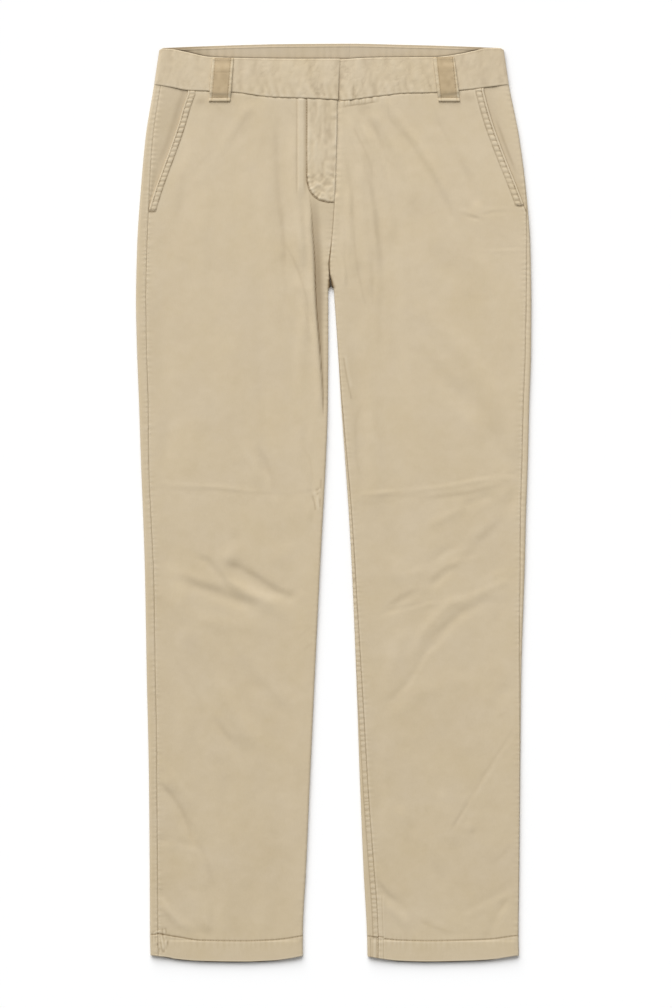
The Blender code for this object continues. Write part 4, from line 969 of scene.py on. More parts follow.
def flyMarks(x, h, fromEdge, seed):
    line = jLine()
    distance, side, place = nearLine(x, h, line)
    lengths = np.concatenate([[0], np.cumsum([math.dist(a, b) for a, b in zip(line, line[1:])])])
    along = np.interp(place, np.arange(len(line)), lengths)
    isFly = (h > leg["flyBottom"] - 0.002) & (x > leg["flyStitch"] - 0.010)
    inside = np.where((side > 0) & isFly, 1.0, 0.0)
    curved = smooth((along - 0.070) / 0.020)
    wave = puckers(along, 0.0062, seed + 15) * bell(distance / mix(0.003, 0.006, curved)) * inside
    edgeWave = (puckers(h, 0.0105, seed + 17) * bell(fromEdge / 0.007) * inside
                * smooth(0.5 + wander(h / 0.021, seed + 18)))
    low = smooth((0.890 - h) / 0.02)
    streaks = patches(x, 0.16 * h, 0.0040, seed + 19) + 0.5 * patches(x, 0.4 * h, 0.0024, seed + 18)
    knots = patches(x + 0.3 * h, h, 0.0050, seed + 20) + 0.6 * patches(x, h, 0.0026, seed + 22)
    crumple = inside * mix(1.4 * streaks, 1.7 * knots, low)
    relief = (-0.00040 * bell(distance / 0.0008) + mix(0.00008, 0.00060, curved) * wave
              + 0.00026 * edgeWave + 0.00028 * crumple + inside * edgeRound(fromEdge))
    # paler along the fly's edge, and at its very edge painted light against the shade of its step
    tone = (-mix(0.85, 1.15, curved) * bell(distance / 0.0008)
            + 0.16 * bell((distance - 0.0022) / 0.0012) * inside
            + mix(0.05, 0.34, curved) * wave + 0.16 * edgeWave + 0.15 * crumple
            + inside * (0.22 * bell((fromEdge - 0.0010) / 0.0008) + 0.40 * bell(fromEdge / 0.0005)))
    # a soft ridge beside the fly, with painted highlight on it and painted shade in the valleys on each
    # side
    low, high = front["flyRidge"]
    beside = smooth((h - low) / 0.02) * smooth((high - h) / 0.006)
    crest, inner, outer = front["flyRidgeAcross"]
    ridge = beside * bell(((x - crest) / 0.0036) ** 2)
    valley = beside * (bell((x - inner) / 0.0012) + 1.2 * bell((x - outer) / 0.0008))
    return (np.where(isFly, relief, 0.0) + 0.0008 * ridge - 0.0003 * valley,
            np.where(isFly, tone, 0.0) + 0.20 * ridge - 0.20 * valley)


def innerMarks(half, base, seed):
    # inseam and centre seam, with what lies beside them
    x, h, fromInner = base["x"], base["h"], base["fromInner"]
    relief, tone = seamMarks(np.abs(fromInner), h, seed + 11)
    flyLevel = smooth((h - leg["flyBottom"]) / 0.002)
    relief, tone = (1 - flyLevel) * relief, (1 - flyLevel) * tone
    tone = tone * mix(1.0, 0.30, smooth((h - 0.800) / 0.008))
    if half == "right":
        tone = tone * mix(0.6, 1.0, smooth((h - trousers["crotch"]) / 0.004))
        for moreRelief, moreTone in (flyMarks(x, h, fromInner, seed), thighMarks(x, h, fromInner)):
            relief, tone = relief + moreRelief, tone + moreTone
        return relief, tone
    besideFly = x - centre("front", h)
    wave = puckers(h, 0.0085, seed + 13) * bell(besideFly / 0.006)
    # painted light on the left front beside the fly's edge, against the shade of the fly's step, with the
    # puckers there
    flyLightAndPuckers = 0.30 * bell((besideFly - 0.0002) / 0.0007) + 0.10 * wave
    return (relief + 0.00015 * flyLevel * wave,
            tone + flyLevel * flyLightAndPuckers + 0.26 * gathered(x, h, "thigh"))


def frontCloth(half, base):
    x, h, lean = base["x"], base["h"], base["lean"]
    seed = front["seed"][half]
    relief = 0.00010 * patches(x, h / 2, 0.020, seed) + 0.00007 * patches(x, h, 0.010, seed + 1)
    tone = 0.03 * patches(x, h, 0.030, seed + 2) + 0.05 * bell(np.sin(lean) - 1) * (lean > 0.3)
    # painted shade and highlight of the folds, and painted shade in the crotch hollow
    tone += paintedFoldShading(half, x, h) - crotchShade(x, h)
    for marks in (outseamMarks, pocketMarks, hemMarks, bandSeamMarks, innerMarks):
        moreRelief, moreTone = marks(half, base, seed)
        relief, tone = relief + moreRelief, tone + moreTone
    return finishCloth(x, h, base["z"], lean, relief, tone)


def makeFront(half, material):
    row = stretches(front["rows"])[:, None]
    steps = np.array(front["edgeSteps"])[None, :]
    outer, inner = frontOuter(half, row, steps), frontInner(half, row, steps)
    shares = stretches(front["bodyShares"][half])[None, 1:-1]
    start, end = outer["x"][:, -1:], inner["x"][:, -1:]
    edge = len(front["edgeSteps"])
    if half == "right":
        first, last = outer, inner
        body = frontBody(half, row, mix(start, end, shares))
        fine = front["bodyShares"][half][-1][-1]      # columns of the part at the inner edge
        middle = [(shares.size - fine, 5), (fine, 2)]
    else:
        first, last = inner, outer
        body = frontBody(half, row, mix(end, start, shares))
        middle = [(shares.size, 5)]
    base = {key: np.concatenate([first[key], body[key], last[key][:, ::-1]], axis=1) for key in body}
    return makeCloth("cloth_front_" + half, frontCloth(half, base), trousers["legWall"],
                     thinned([(len(row), 5)]), thinned([(edge, 2), *middle, (edge, 2)]), material)


# backs

back = {
    "seed": {"right": 70, "left": 100},
    "foldColumns": 28,         # from a seam round the folded edge to the flat underside
    "flatColumns": 10,
    "felled": (0.0008, 0.0048),   # stitch rows of the flat felled inseam
    "felledHem": 0.0004,          # the seam is this much wider at the hem
    "felledTop": 0.62,            # its stitches end here
    "hemShade": 0.0010,           # the back's hem shows this much below the front's, painted nearly black as shadow under the hem
    "outseamRow": 0.1225,         # share of the right outer fold at which its stitches lie
}


def backOuter(half, row, share):
    # share 0 is at the outseam and 1 where the underside begins
    h = outerPlace(half, row, 0.0)[1]
    seam = seamTurn(half + "_outseam", h) - trousers["seamGap"] / 2
    quarter = math.pi * edgeThickness(half, "outer", h) / 4
    turn = mix(seam, -quarter, share)
    x, h, z, lean = outerPlace(half, row, turn)
    return strip(x, h, z, lean, row, fromOutseam=seam - turn, fromInseam=1.0)


def backInner(half, row, share):
    seam = seamTurn(half + "_inseam", row)
    quarter = math.pi * edgeThickness(half, "inner", row) / 4
    away = mix(0.0, seam + quarter, share)
    h = rowHeight(half, "back", innerPlace(half, "back", row, away)[0], row)
    seam = seamTurn(half + "_inseam", h)
    quarter = math.pi * edgeThickness(half, "inner", h) / 4
    away = mix(0.0, seam + quarter, share)
    x, z, lean = innerPlace(half, "back", h, away)
    return strip(x, h, z, lean, row, fromOutseam=1.0, fromInseam=away)


def backCloth(half, base):
    x, h, row = base["x"], base["h"], base["row"]
    seed = back["seed"][half]
    besidePocket = smooth((h - leg["openingEnd"]) / 0.015)
    relief, tone = seamMarks(base["fromOutseam"], h, seed, dark=mix(0.42, 0.22, besidePocket), pale=0.18)
    tone += 0.04 * patches(x, h, 0.030, seed + 2)
    if half == "left":
        away = base["fromInseam"]
        first, second = back["felled"]
        second = second + back["felledHem"] * (1 - smooth(h / 0.12))
        isSeam = (1 - smooth((h - 0.60) / 0.10)) * smooth((h - 0.0255) / 0.002)
        between = smooth(away / 0.0008) * smooth((second + 0.0010 - away) / 0.0014)
        wave = puckers(h, front["puckerPeriod"], seed + 3) * between
        relief += isSeam * (0.0003 * smooth((second + 0.0012 - away) / 0.0010) + 0.00026 * wave
                            - 0.00022 * (bell((away - first) / 0.0006) + bell((away - second) / 0.0006)))
        tone += isSeam * (0.36 * wave - 0.40 * bell(away / 0.0006)
                          - 0.40 * bell((away - second - 0.0006) / 0.0007)
                          + 0.10 * bell((away - 0.0016) / 0.0008))
    else:
        seamRelief, seamTone = seamMarks(base["fromInseam"], h, seed + 5)
        relief += seamRelief
        tone += 0.6 * seamTone

    up = row - leg["hemDepth"]
    if half == "left":
        up = up - 0.0004
        tone += 0.50 * hemStripes(x, h)
    else:
        up = up - 0.0011 - 0.0011 * smooth((x + 0.2005) / 0.0045)
        creases = gathered(x, h, "hem")
        relief += 0.0004 * creases
        tone += 0.46 * creases
    wave = puckers(x, 0.0045, seed + 7) * bell((up + 0.004) / 0.007)
    relief += -0.0003 * bell(up / 0.0007) + 0.0002 * wave + edgeRound(row)
    tone += -0.75 * bell(up / 0.0007) + 0.16 * wave
    across = hemShare(half, x)
    below = (smooth((across - 0.06) / 0.10) * smooth((0.95 - across) / 0.10) * bell(row / 0.004)
             * smooth((0.0016 - base["z"]) / 0.0008))
    # painted shadow: the strip of the back's hem that shows below the front's is nearly black
    tone -= 2.0 * below * smooth((0.0012 - row) / 0.0006)
    return finishCloth(x, h - back["hemShade"] * below, base["z"], base["lean"], relief, tone)


def makeBack(half, material):
    row = stretches(front["rows"])[:, None]
    share = np.linspace(0, 1, back["foldColumns"])[None, :]
    outer, inner = backOuter(half, row, share), backInner(half, row, share)
    between = np.linspace(0, 1, back["flatColumns"] + 2)[None, 1:-1]
    x = mix(inner["x"][:, -1:], outer["x"][:, -1:], between)
    flat = strip(x, rowHeight(half, "back", x, row), 0.0, math.pi, row, fromOutseam=1.0, fromInseam=1.0)
    base = {key: np.concatenate([inner[key], flat[key], outer[key][:, ::-1]], axis=1) for key in flat}
    if half == "left":
        base = {key: value[:, ::-1] for key, value in base.items()}
    groups = [(back["foldColumns"], 2), (back["flatColumns"], 2), (back["foldColumns"], 2)]
    return makeCloth("cloth_back_" + half, backCloth(half, base), trousers["legWall"],
                     thinned([(len(row), 5)]), thinned(groups), material)


# pocket bearers

bearer = {
    "seed": {"right": 130, "left": 140},
    "wall": 0.0010,
    "drop": 0.0011,            # below the front's surface, in the opening
    "under": 0.0016,           # the same under the front
    "settle": 0.008,           # within this much of the opening it is fully down
    "reach": 0.025,            # and this far it runs on under the front
    "rows": ((0.832, 0.846, 14), (0.846, 0.977, 110)),
    "shares": 26,
    "hiddenBelow": 0.836,
}


def makeBearer(half, material):
    row = stretches(bearer["rows"])[:, None]
    h = outerPlace(half, row, 0.0)[1]
    seam = seamTurn(half + "_outseam", h) + trousers["seamGap"] / 2
    shown = outerSeam(half, h) - seam
    share = np.linspace(0, 1, bearer["shares"])[None, :]
    turns, drops = [seam + shown * share], [bearer["drop"] * smooth(share / 0.7) + 0 * seam]
    for step, low in ((bearer["settle"] / 2, 0.5), (bearer["settle"], 1.0), (bearer["reach"], 1.0)):
        turns.append(seam + shown + step)
        drops.append(mix(bearer["drop"], bearer["under"], low) + 0 * seam)
    turn = np.concatenate(turns, axis=1)
    x, h, z, lean = outerPlace(half, row, turn)
    hidden = bearer["under"] * (1 - smooth((row - bearer["hiddenBelow"]) / 0.004))
    z = z - np.maximum(np.concatenate(drops, axis=1), hidden)
    fromSeam = turn - seam
    relief, tone = seamMarks(fromSeam, h, bearer["seed"][half], dark=0.16, pale=0.12)
    fromEdge = shown - fromSeam
    down = trousers["bandSide"] - row
    # painted shade where the bearer lies in the pocket opening: beside the pocket's edge and along a crease
    # that has no relief here, and on the right over the whole bearer too
    if half == "right":
        crease = smooth((h - 0.885) / 0.02) * bell((fromEdge - 0.0060) / 0.0030)
        tone = tone - 0.06 - 0.08 * smooth((0.012 - fromEdge) / 0.008) - 0.14 * crease
    else:
        upright = smooth((h - 0.875) / 0.02) * smooth((0.945 - h) / 0.02)
        crease = upright * bell((fromEdge - 0.0055) / 0.0016)
        tone = tone - 0.26 * bell(fromEdge / 0.0008) - 0.13 * bell(fromEdge / 0.010) - 0.22 * crease
    tone = tone - 0.08 * bell(down / 0.0006)
    parts = [x, h, z, lean, relief, tone]
    if half == "left":
        parts = mirrored(parts)
    count = x.shape[1]
    return makeCloth("cloth_bearer_" + half, finishCloth(*parts), bearer["wall"],
                     thinned([(len(row), 3)]), thinned([(count, 2)]), material)


# waistband

band = {
    "seed": {"right": 160, "left": 180},
    "height": 0.0430,          # what the marks on it are measured by
    "wall": 0.0018,
    "thickness": 0.0066,
    "pillow": 0.0003,          # it stands this much higher along its middle
    "tabRise": 0.0008,         # the right half rises so much where it lies on the left
    "tabDrop": 0.0013,         # and the left half's end drops so much under it
    "tabLength": 0.0300,
    "tabRamp": 0.0140,
    "cornerDrop": 0.0020,
    "frontColumns": {"right": 230, "left": 250},
    "foldColumns": 16,
    "backColumns": 30,
    "levels": ((0, 0.03, 3), (0.03, 0.97, 44), (0.97, 1, 3)),
}


def bandHeight(half, x):
    end = float(centre("front", 1.0))
    ramp = band["tabRamp"]
    if half == "right":
        return band["thickness"] + band["tabRise"] * smooth((x - end + band["tabLength"] + ramp) / ramp)
    return band["thickness"] - band["tabDrop"] * smooth((end + 0.0005 + ramp - x) / ramp)


def bandMarks(half, x, level, onFront):
    seed = band["seed"][half]
    up = level * band["height"]
    down = band["height"] - up
    lap = 0.35 + 0.65 * bell((x + 0.01) / 0.085)
    seamWave = puckers(x, 0.0095, seed, 0.3 * up) * bell(up / 0.013) * lap
    topWave = puckers(x, 0.012, seed + 2) * bell(down / 0.008)
    soft = (patches(x + 0.08 * up, 0.25 * up, 0.0078, seed + 3)
            + 0.6 * patches(x - 0.1 * up, 0.6 * up, 0.0036, seed + 4)) * (0.60 + 0.40 * lap)
    relief = (0.00050 * seamWave + 0.00018 * topWave + 0.00034 * soft
              + edgeRound(up, 0.0014, 0.0006) + edgeRound(down, 0.0014, 0.0006))
    sharp = (wrinkles(x + 0.05 * up, 0.22 * up, 0.0070, seed + 5) * (0.30 + 0.70 * bell(up / 0.018))
             + 0.5 * wrinkles(x - 0.3 * up, 0.8 * up, 0.0050, seed + 8)) * (0.45 + 0.55 * lap)
    relief -= 0.00034 * sharp
    tone = (0.20 * seamWave + 0.06 * topWave + 0.13 * soft - 0.22 * sharp
            - 0.25 * bell(up / 0.0006) + 0.12 * bell((up - 0.0022) / 0.0012)
            - 0.20 * bell((down - 0.0015) / 0.0008))
    end = float(centre("front", 1.0))
    if half == "right":
        relief += edgeRound(end - x, 0.0016, 0.0007)
        tone += 0.15 * bell((end - x - 0.0008) / 0.0008)
    else:
        # painted shadow on the left half beside the tab's end
        tone -= 0.12 * bell((x - end - 0.0002) / 0.0007)
    return relief * onFront, tone * onFront


def bandBase(half, level, share):
    # share 0 to 1 runs over the front half, 1 to 2 round the side fold, 2 to 3 over the back
    out = trousers["sides"][half]
    radius = band["thickness"] / 2
    curve = bandFront[half]
    middle = mix(trousers["bandSide"], trousers["bandCorner"], level)
    fold = outline(half, middle) - out * radius
    end = centre("front", middle) - (0.0 if half == "right" else band["tabLength"])
    gap = trousers["seamGap"] / 2
    lift = band["pillow"] * np.sin(math.pi * level)

    onFront = np.clip(share, 0, 1)
    guess = mix(end, fold, onFront)
    frontH = mix(curve("seam", guess) + gap, curve("top", guess), level)
    frontX = mix(end, outline(half, frontH) - out * radius, onFront)
    turn = np.clip(share - 1, 0, 1)
    low = mix(curve("seam", fold), bandBack("seam", fold), turn) + gap
    top = mix(curve("top", fold), bandBack("top", fold), turn) - band["cornerDrop"] * np.sin(math.pi * turn)
    foldH = mix(low, top, level)
    foldX = outline(half, foldH) - out * radius * (1 - np.sin(math.pi * turn))
    onBack = np.clip(share - 2, 0, 1)
    backX = mix(fold, centre("back", 1.0) + out * gap, onBack)
    backH = mix(bandBack("seam", backX) + gap, bandBack("top", backX), level)

    pick = [share <= 1, share < 2]
    x = np.select(pick, [frontX, foldX], backX)
    h = np.select(pick, [frontH, foldH], backH)
    z = np.select(pick, [bandHeight(half, frontX) + lift, radius * (1 + np.cos(math.pi * turn))], 0.0)
    lean = np.select(pick, [0 * x, out * math.pi * turn], math.pi)
    facingUp = np.where(share <= 1, 1.0, 1 - smooth(turn * 1.5))
    relief, tone = bandMarks(half, x, level + 0 * share, facingUp)
    side = smooth((np.abs(x) - 0.125) / 0.05)
    shade = 0.08 + 0.45 * side + 0.10 * bell((1 - level) * band["height"] / 0.0040)
    return x, h, z, lean, relief, tone - np.where(share > 1.5, shade, 0.0)


def makeBand(half, material):
    level = stretches(band["levels"])[:, None]
    count = band["frontColumns"][half]
    edge = np.array([0, 0.0012, 0.003]) if half == "right" else np.array([0.0])
    fold, behind = band["foldColumns"], band["backColumns"]      # columns round the side and over the back
    share = np.concatenate([edge, np.linspace(0.006, 1, count), np.linspace(1, 2, fold)[1:],
                            np.linspace(2, 3, behind)[1:]])[None, :]
    parts = [part + 0 * level for part in bandBase(half, level, share)]
    if half == "right":
        parts = mirrored(parts)
    groups = [(edge.size, 1), (count, 4), (fold - 1, 1), (behind - 1, 3)]
    rows = thinned([(len(level) - 5, 3), (5, 1)])
    return makeCloth("cloth_band_" + half, finishCloth(*parts), band["wall"], rows,
                     thinned(groups if half == "left" else groups[::-1]), material)


# inner facing, seen above the front half of the band

facing = {
    "seed": 200,
    "wall": 0.0010,
    "top": 0.0023,             # below the back half's top edge
    "depth": 0.0340,
    "side": 0.0160,            # it ends this far inside the side fold
    "columns": 150,
    "rows": 60,
}


def makeFacing(half, material):
    out = trousers["sides"][half]
    start = float(centre("back", 1.0)) + out * trousers["seamGap"] / 2
    end = float(outline(half, 1.0)) - out * facing["side"]
    x = np.linspace(start, end, facing["columns"])[None, :]
    level = np.linspace(0, 1, facing["rows"])[:, None]
    h = bandBack("top", x) - facing["top"] - facing["depth"] * (1 - level)
    x = x + 0 * h
    z = band["wall"] + trousers["seamGap"] + facing["wall"] + 0 * h
    down = facing["depth"] * (1 - level)
    wave = puckers(x, 0.010, facing["seed"])
    relief = 0.0001 * wave + edgeRound(down + 0 * h)
    above = h - bandFront[half]("top", x)
    # a dark line along its top edge, painted shadow just above the front half's top edge fading upwards,
    # and painted shade towards the sides where it shows in the slits
    tone = (0.05 * wave - 0.50 * bell((down - 0.0014) / 0.0005) - 0.55 * bell((above - 0.0006) / 0.0010)
            - 0.12 * bell(above / 0.0040) - 0.30 * smooth((np.abs(x) - 0.125) / 0.045))
    parts = [x, h, z, 0 * h, relief, tone + 0 * h]
    if half == "right":
        parts = mirrored(parts)
    return makeCloth("cloth_facing_" + half, finishCloth(*parts), facing["wall"],
                     thinned([(facing["rows"], 4)]), thinned([(facing["columns"], 4)]), material)


# belt loops

loop = {
    "seed": {"right": 220, "left": 230},
    "right": {"top": (-0.1232, 1.0068), "bottom": (-0.1271, 0.9582)},
    "left": {"top": (0.1223, 1.0076), "bottom": (0.1288, 0.9582)},
    "foldShade": {"right": 0.14, "left": 0.05},
    "skew": {"right": 0.0, "left": 0.0014},    # how far the panel's top stands off the middle
    "wall": 0.0013,
    "width": 0.0240,
    "gap": 0.0009,             # under its middle
    "end": 0.16,               # share of the length over which it rises from a sewn end
    "sewn": 0.6,               # share of that which lies flat
    "step": 0.0050,            # length of its climb from the panel onto the band
    "columns": 36,
    "rows": 90,
    "margin": 0.0032,          # stitched edge of the folded strip
    "foldAt": 0.67,            # share of the length where it is creased across
    "rowsAcross": (0.085, 0.955),  # shares of the length where it is sewn down
}


def loopPlace(half, t, across):
    (topX, topH), (lowX, lowH) = loop[half]["top"], loop[half]["bottom"]
    x = mix(lowX, topX, t) + across * loop["width"]
    h = mix(lowH, topH, t) + 0 * across
    seam = bandFront[half]("seam", x)
    arch = smooth(t / loop["end"] - loop["sewn"]) * smooth((1 - t) / loop["end"] - loop["sewn"])
    panel = frontHeight(half, x, np.minimum(h, seam))
    base = mix(panel, bandHeight(half, x) + band["pillow"], smooth((h - seam) / loop["step"] + 1.2))
    z = base + trousers["seamGap"] + loop["gap"] * arch + loop["wall"]
    fromSide = (0.5 - np.abs(across)) * loop["width"]
    middle = across * loop["width"] - loop["skew"][half] * t
    fromPanel = loop["width"] / 2 - loop["margin"] - np.abs(middle)
    length = topH - lowH
    fromLow, fromTop = t * length, (1 - t) * length
    fromCrease, shade = (t - loop["foldAt"]) * length, loop["foldShade"][half]
    seed = loop["seed"][half]
    wave = puckers(h, 0.0060, seed) * bell(fromSide / 0.003)
    relief = sum(edgeRound(edge, 0.0012, 0.0006) for edge in (fromSide, fromLow, fromTop))
    relief = (relief + 0.00015 * wave - 0.0003 * bell(fromPanel / 0.0007)
              + 0.0004 * smooth((0.0035 - fromLow) / 0.001) - 0.0003 * bell((fromLow - 0.0042) / 0.0007)
              - 0.0012 * shade * bell(fromCrease / 0.0012) + 0.00012 * patches(x, h, 0.006, seed + 1))
    inPanel = smooth((fromPanel + 0.0006) / 0.0008) * smooth((fromLow - 0.0036) / 0.0008)
    # the paler band just above the lower end is painted light against the shade where the loop climbs onto
    # the band
    tone = (0.42 * (1 - inPanel) - 0.10 * inPanel - 0.45 * bell(fromPanel / 0.0006)
            - 0.35 * bell((fromLow - 0.0042) / 0.0006) - shade * bell(fromCrease / 0.0008)
            + 0.5 * shade * smooth(fromCrease / 0.0008 + 0.5) + 0.10 * wave - 0.55 * bell(fromTop / 0.0009)
            + 0.10 * patches(x, h, 0.004, seed + 2) + 0.22 * bell((fromLow - 0.0072) / 0.0030))
    return x, h, z, 0 * x, relief, tone


def makeLoop(half, material):
    t = np.linspace(0, 1, loop["rows"])[:, None]
    across = np.linspace(-0.5, 0.5, loop["columns"])[None, :]
    parts = [part + 0 * t * across for part in loopPlace(half, t, across)]
    return makeCloth("cloth_loop_" + half, finishCloth(*parts), loop["wall"],
                     thinned([(loop["rows"], 2)]), thinned([(loop["columns"], 3)]), material)


# materials

class Wire:
    # One output of a material's nodes. Sums on it become Math nodes.

    def __init__(self, tree, socket=None):
        self.tree = tree
        self.socket = socket

    def node(self, kind, settings=None, sockets=None, output=0):
        made = self.tree.nodes.new(kind)
        for name, value in (settings or {}).items():
            setattr(made, name, value)
        for name, value in (sockets or {}).items():
            if isinstance(value, Wire):
                self.tree.links.new(value.socket, made.inputs[name])
            else:
                made.inputs[name].default_value = value
        return Wire(self.tree, made.outputs[output])

    def sum(self, operation, first, second=0.0, clamp=False):
        settings = {"operation": operation, "use_clamp": clamp}
        return self.node("ShaderNodeMath", settings, {0: first, 1: second})

    def __add__(self, other):
        return self.sum("ADD", self, other)

    __radd__ = __add__

    def __sub__(self, other):
        return self.sum("SUBTRACT", self, other)

    def __rsub__(self, other):
        return self.sum("SUBTRACT", other, self)

    def __mul__(self, other):
        return self.sum("MULTIPLY", self, other)

    __rmul__ = __mul__

    def __neg__(self):
        return self * -1.0

    def clamped(self):
        return self.sum("ADD", self, 0.0, True)

    def sine(self):
        return self.sum("SINE", self)

    def blend(self, first, second, kind="MIX"):
        # this value as the share between two colours
        return self.node("ShaderNodeMix", {"data_type": "RGBA", "blend_type": kind},
                         {0: self, 6: first, 7: second}, 2)


twill = {
    "ribPitch": 0.00085,       # metres between the diagonal ribs
    "ribSlope": 0.50,
    "threadPitch": 0.00042,
    "ribHeight": 0.00005,
    "washHeight": 0.00022,     # crinkle of washed cotton
    "fade": 0.120,             # legs are this share darker at the hems than at the waist
    # scale, detail and stretch of the noises, then of the two that make the crinkle
    "cloudy": (16, 2),
    "mottled": (110, 3),
    "slubs": (260, 2, (6.0, 0.7, 1.0)),
    "crinkles": ((140, 4), (420, 2)),
    "bumpStrengths": (0.6, 0.5),   # of the weave and of the crinkle
    "yellow": (1.0, 0.982, 0.915, 1.0),
    "deepest": (0.012, 0.009, 0.006, 1.0),     # colour of the tone at -2, the near black of the painted shadow in the crotch hollow and under the hems
    "sockets": {"Specular IOR Level": 0.25, "Sheen Weight": 0.06, "Sheen Roughness": 0.6},
}
# plain colour of each cloth, then its colour where the tone is 1 and -1
finishes = {
    "khakiLeg": ((0.600, 0.497, 0.347), (0.74, 0.66, 0.52), (0.190, 0.125, 0.060)),
    "khakiBand": ((0.594, 0.492, 0.345), (0.74, 0.66, 0.52), (0.190, 0.125, 0.060)),
    "khakiLoop": ((0.506, 0.391, 0.242), (0.74, 0.66, 0.50), (0.170, 0.110, 0.052)),
    # the inside of the band is a darker copy of the khaki, painted shade of the recess it shows in
    "khakiInsideShaded": ((0.524, 0.434, 0.310), (0.66, 0.57, 0.43), (0.120, 0.088, 0.050)),
}


def newMaterial(name):
    material = bpy.data.materials.new(name)
    material.use_nodes = True
    return material, material.node_tree.nodes["Principled BSDF"]


def clothMaterial(name, plain, pale, dark):
    material, shader = newMaterial(name)
    tree = material.node_tree
    wire = Wire(tree)
    room = wire.node("ShaderNodeTexCoord", output=3)
    flat = wire.node("ShaderNodeUVMap", {"uv_map": "cloth"})
    tone = wire.node("ShaderNodeAttribute", {"attribute_name": "tone"}, output=2)

    def noise(scale, detail, stretch=(1, 1, 1)):
        spread = wire.node("ShaderNodeVectorMath", {"operation": "MULTIPLY"}, {0: room, 1: stretch})
        sockets = {"Vector": spread, "Scale": scale, "Detail": detail}
        return wire.node("ShaderNodeTexNoise", None, sockets) - 0.5

    def stripes(across, up, pitch):
        turned = wire.node("ShaderNodeVectorMath", {"operation": "DOT_PRODUCT"},
                           {0: flat, 1: (across, up, 0.0)}, 1)
        return (turned * (2 * math.pi / pitch)).sine()

    ribs = stripes(1.0, twill["ribSlope"], twill["ribPitch"])
    threads = stripes(0.0, 1.0, twill["threadPitch"])
    cloudy, mottled, slubs = [noise(*twill[kind]) for kind in ("cloudy", "mottled", "slubs")]
    height = wire.node("ShaderNodeSeparateXYZ", None, {0: room}, 1)
    lower = (0.5 - height).clamped()
    value = 1.004 + 0.05 * cloudy + 0.07 * mottled + 0.06 * slubs + 0.018 * ribs - twill["fade"] * lower
    shaded = wire.node("ShaderNodeVectorMath", {"operation": "SCALE"}, {0: plain, "Scale": value})
    share = (0.20 + 0.35 * lower - cloudy * 1.6 - mottled * 0.8).clamped()
    yellowed = share.blend(shaded, twill["yellow"], "MULTIPLY")
    darker = (-tone).clamped().blend(yellowed, (*dark, 1.0))
    deeper = (-1.0 - tone).clamped().blend(darker, twill["deepest"])
    colour = (tone * 0.8).clamped().blend(deeper, (*pale, 1.0))
    tree.links.new(colour.socket, shader.inputs["Base Color"])
    rough = 0.86 + 0.10 * mottled - 0.03 * ribs
    tree.links.new(rough.socket, shader.inputs["Roughness"])
    weaveStrength, crinkleStrength = twill["bumpStrengths"]
    weave = wire.node("ShaderNodeBump", None, {"Strength": weaveStrength, "Distance": twill["ribHeight"],
                                               "Height": ribs + 0.4 * threads})
    large, small = [noise(*kind) for kind in twill["crinkles"]]
    bump = wire.node("ShaderNodeBump", None, {"Strength": crinkleStrength, "Distance": twill["washHeight"],
                                              "Height": large + 0.6 * small, "Normal": weave})
    tree.links.new(bump.socket, shader.inputs["Normal"])
    for socket, value in twill["sockets"].items():
        shader.inputs[socket].default_value = value
    material.diffuse_color = (*plain, 1.0)
    return material


def threadMaterial(name, colour):
    material, shader = newMaterial(name)
    tree = material.node_tree
    wire = Wire(tree)
    room = wire.node("ShaderNodeTexCoord", output=3)
    speckle = wire.node("ShaderNodeTexNoise", None, {"Vector": room, "Scale": 700.0, "Detail": 2.0}) - 0.5
    value = 1.0 + 0.35 * speckle
    shade = wire.node("ShaderNodeVectorMath", {"operation": "SCALE"}, {0: colour, "Scale": value})
    tree.links.new(shade.socket, shader.inputs["Base Color"])
    tree.links.new((0.70 + 0.2 * speckle).socket, shader.inputs["Roughness"])
    material.diffuse_color = (*colour, 1.0)
    return material


# stitches

stitching = {
    "thread": (0.60, 0.50, 0.35),
    "radius": 0.00021,
    "lift": 0.00006,
    "seams": (0.0030, 0.0023),     # from one stitch to the next, and length of a stitch
    "loops": (0.0030, 0.0023),
    "tacks": (0.0012, 0.0019),
    "spacing": 0.0015,             # of the points along a path
    "start": 0.0010,               # of the rows along the leg, above the hem's edge
    "tackRise": 0.0022,            # of the bar tack over the pocket's lower end
    "tackWidth": 0.0078,
    "tackTurns": 14,
    "tackHeight": 0.0024,
}


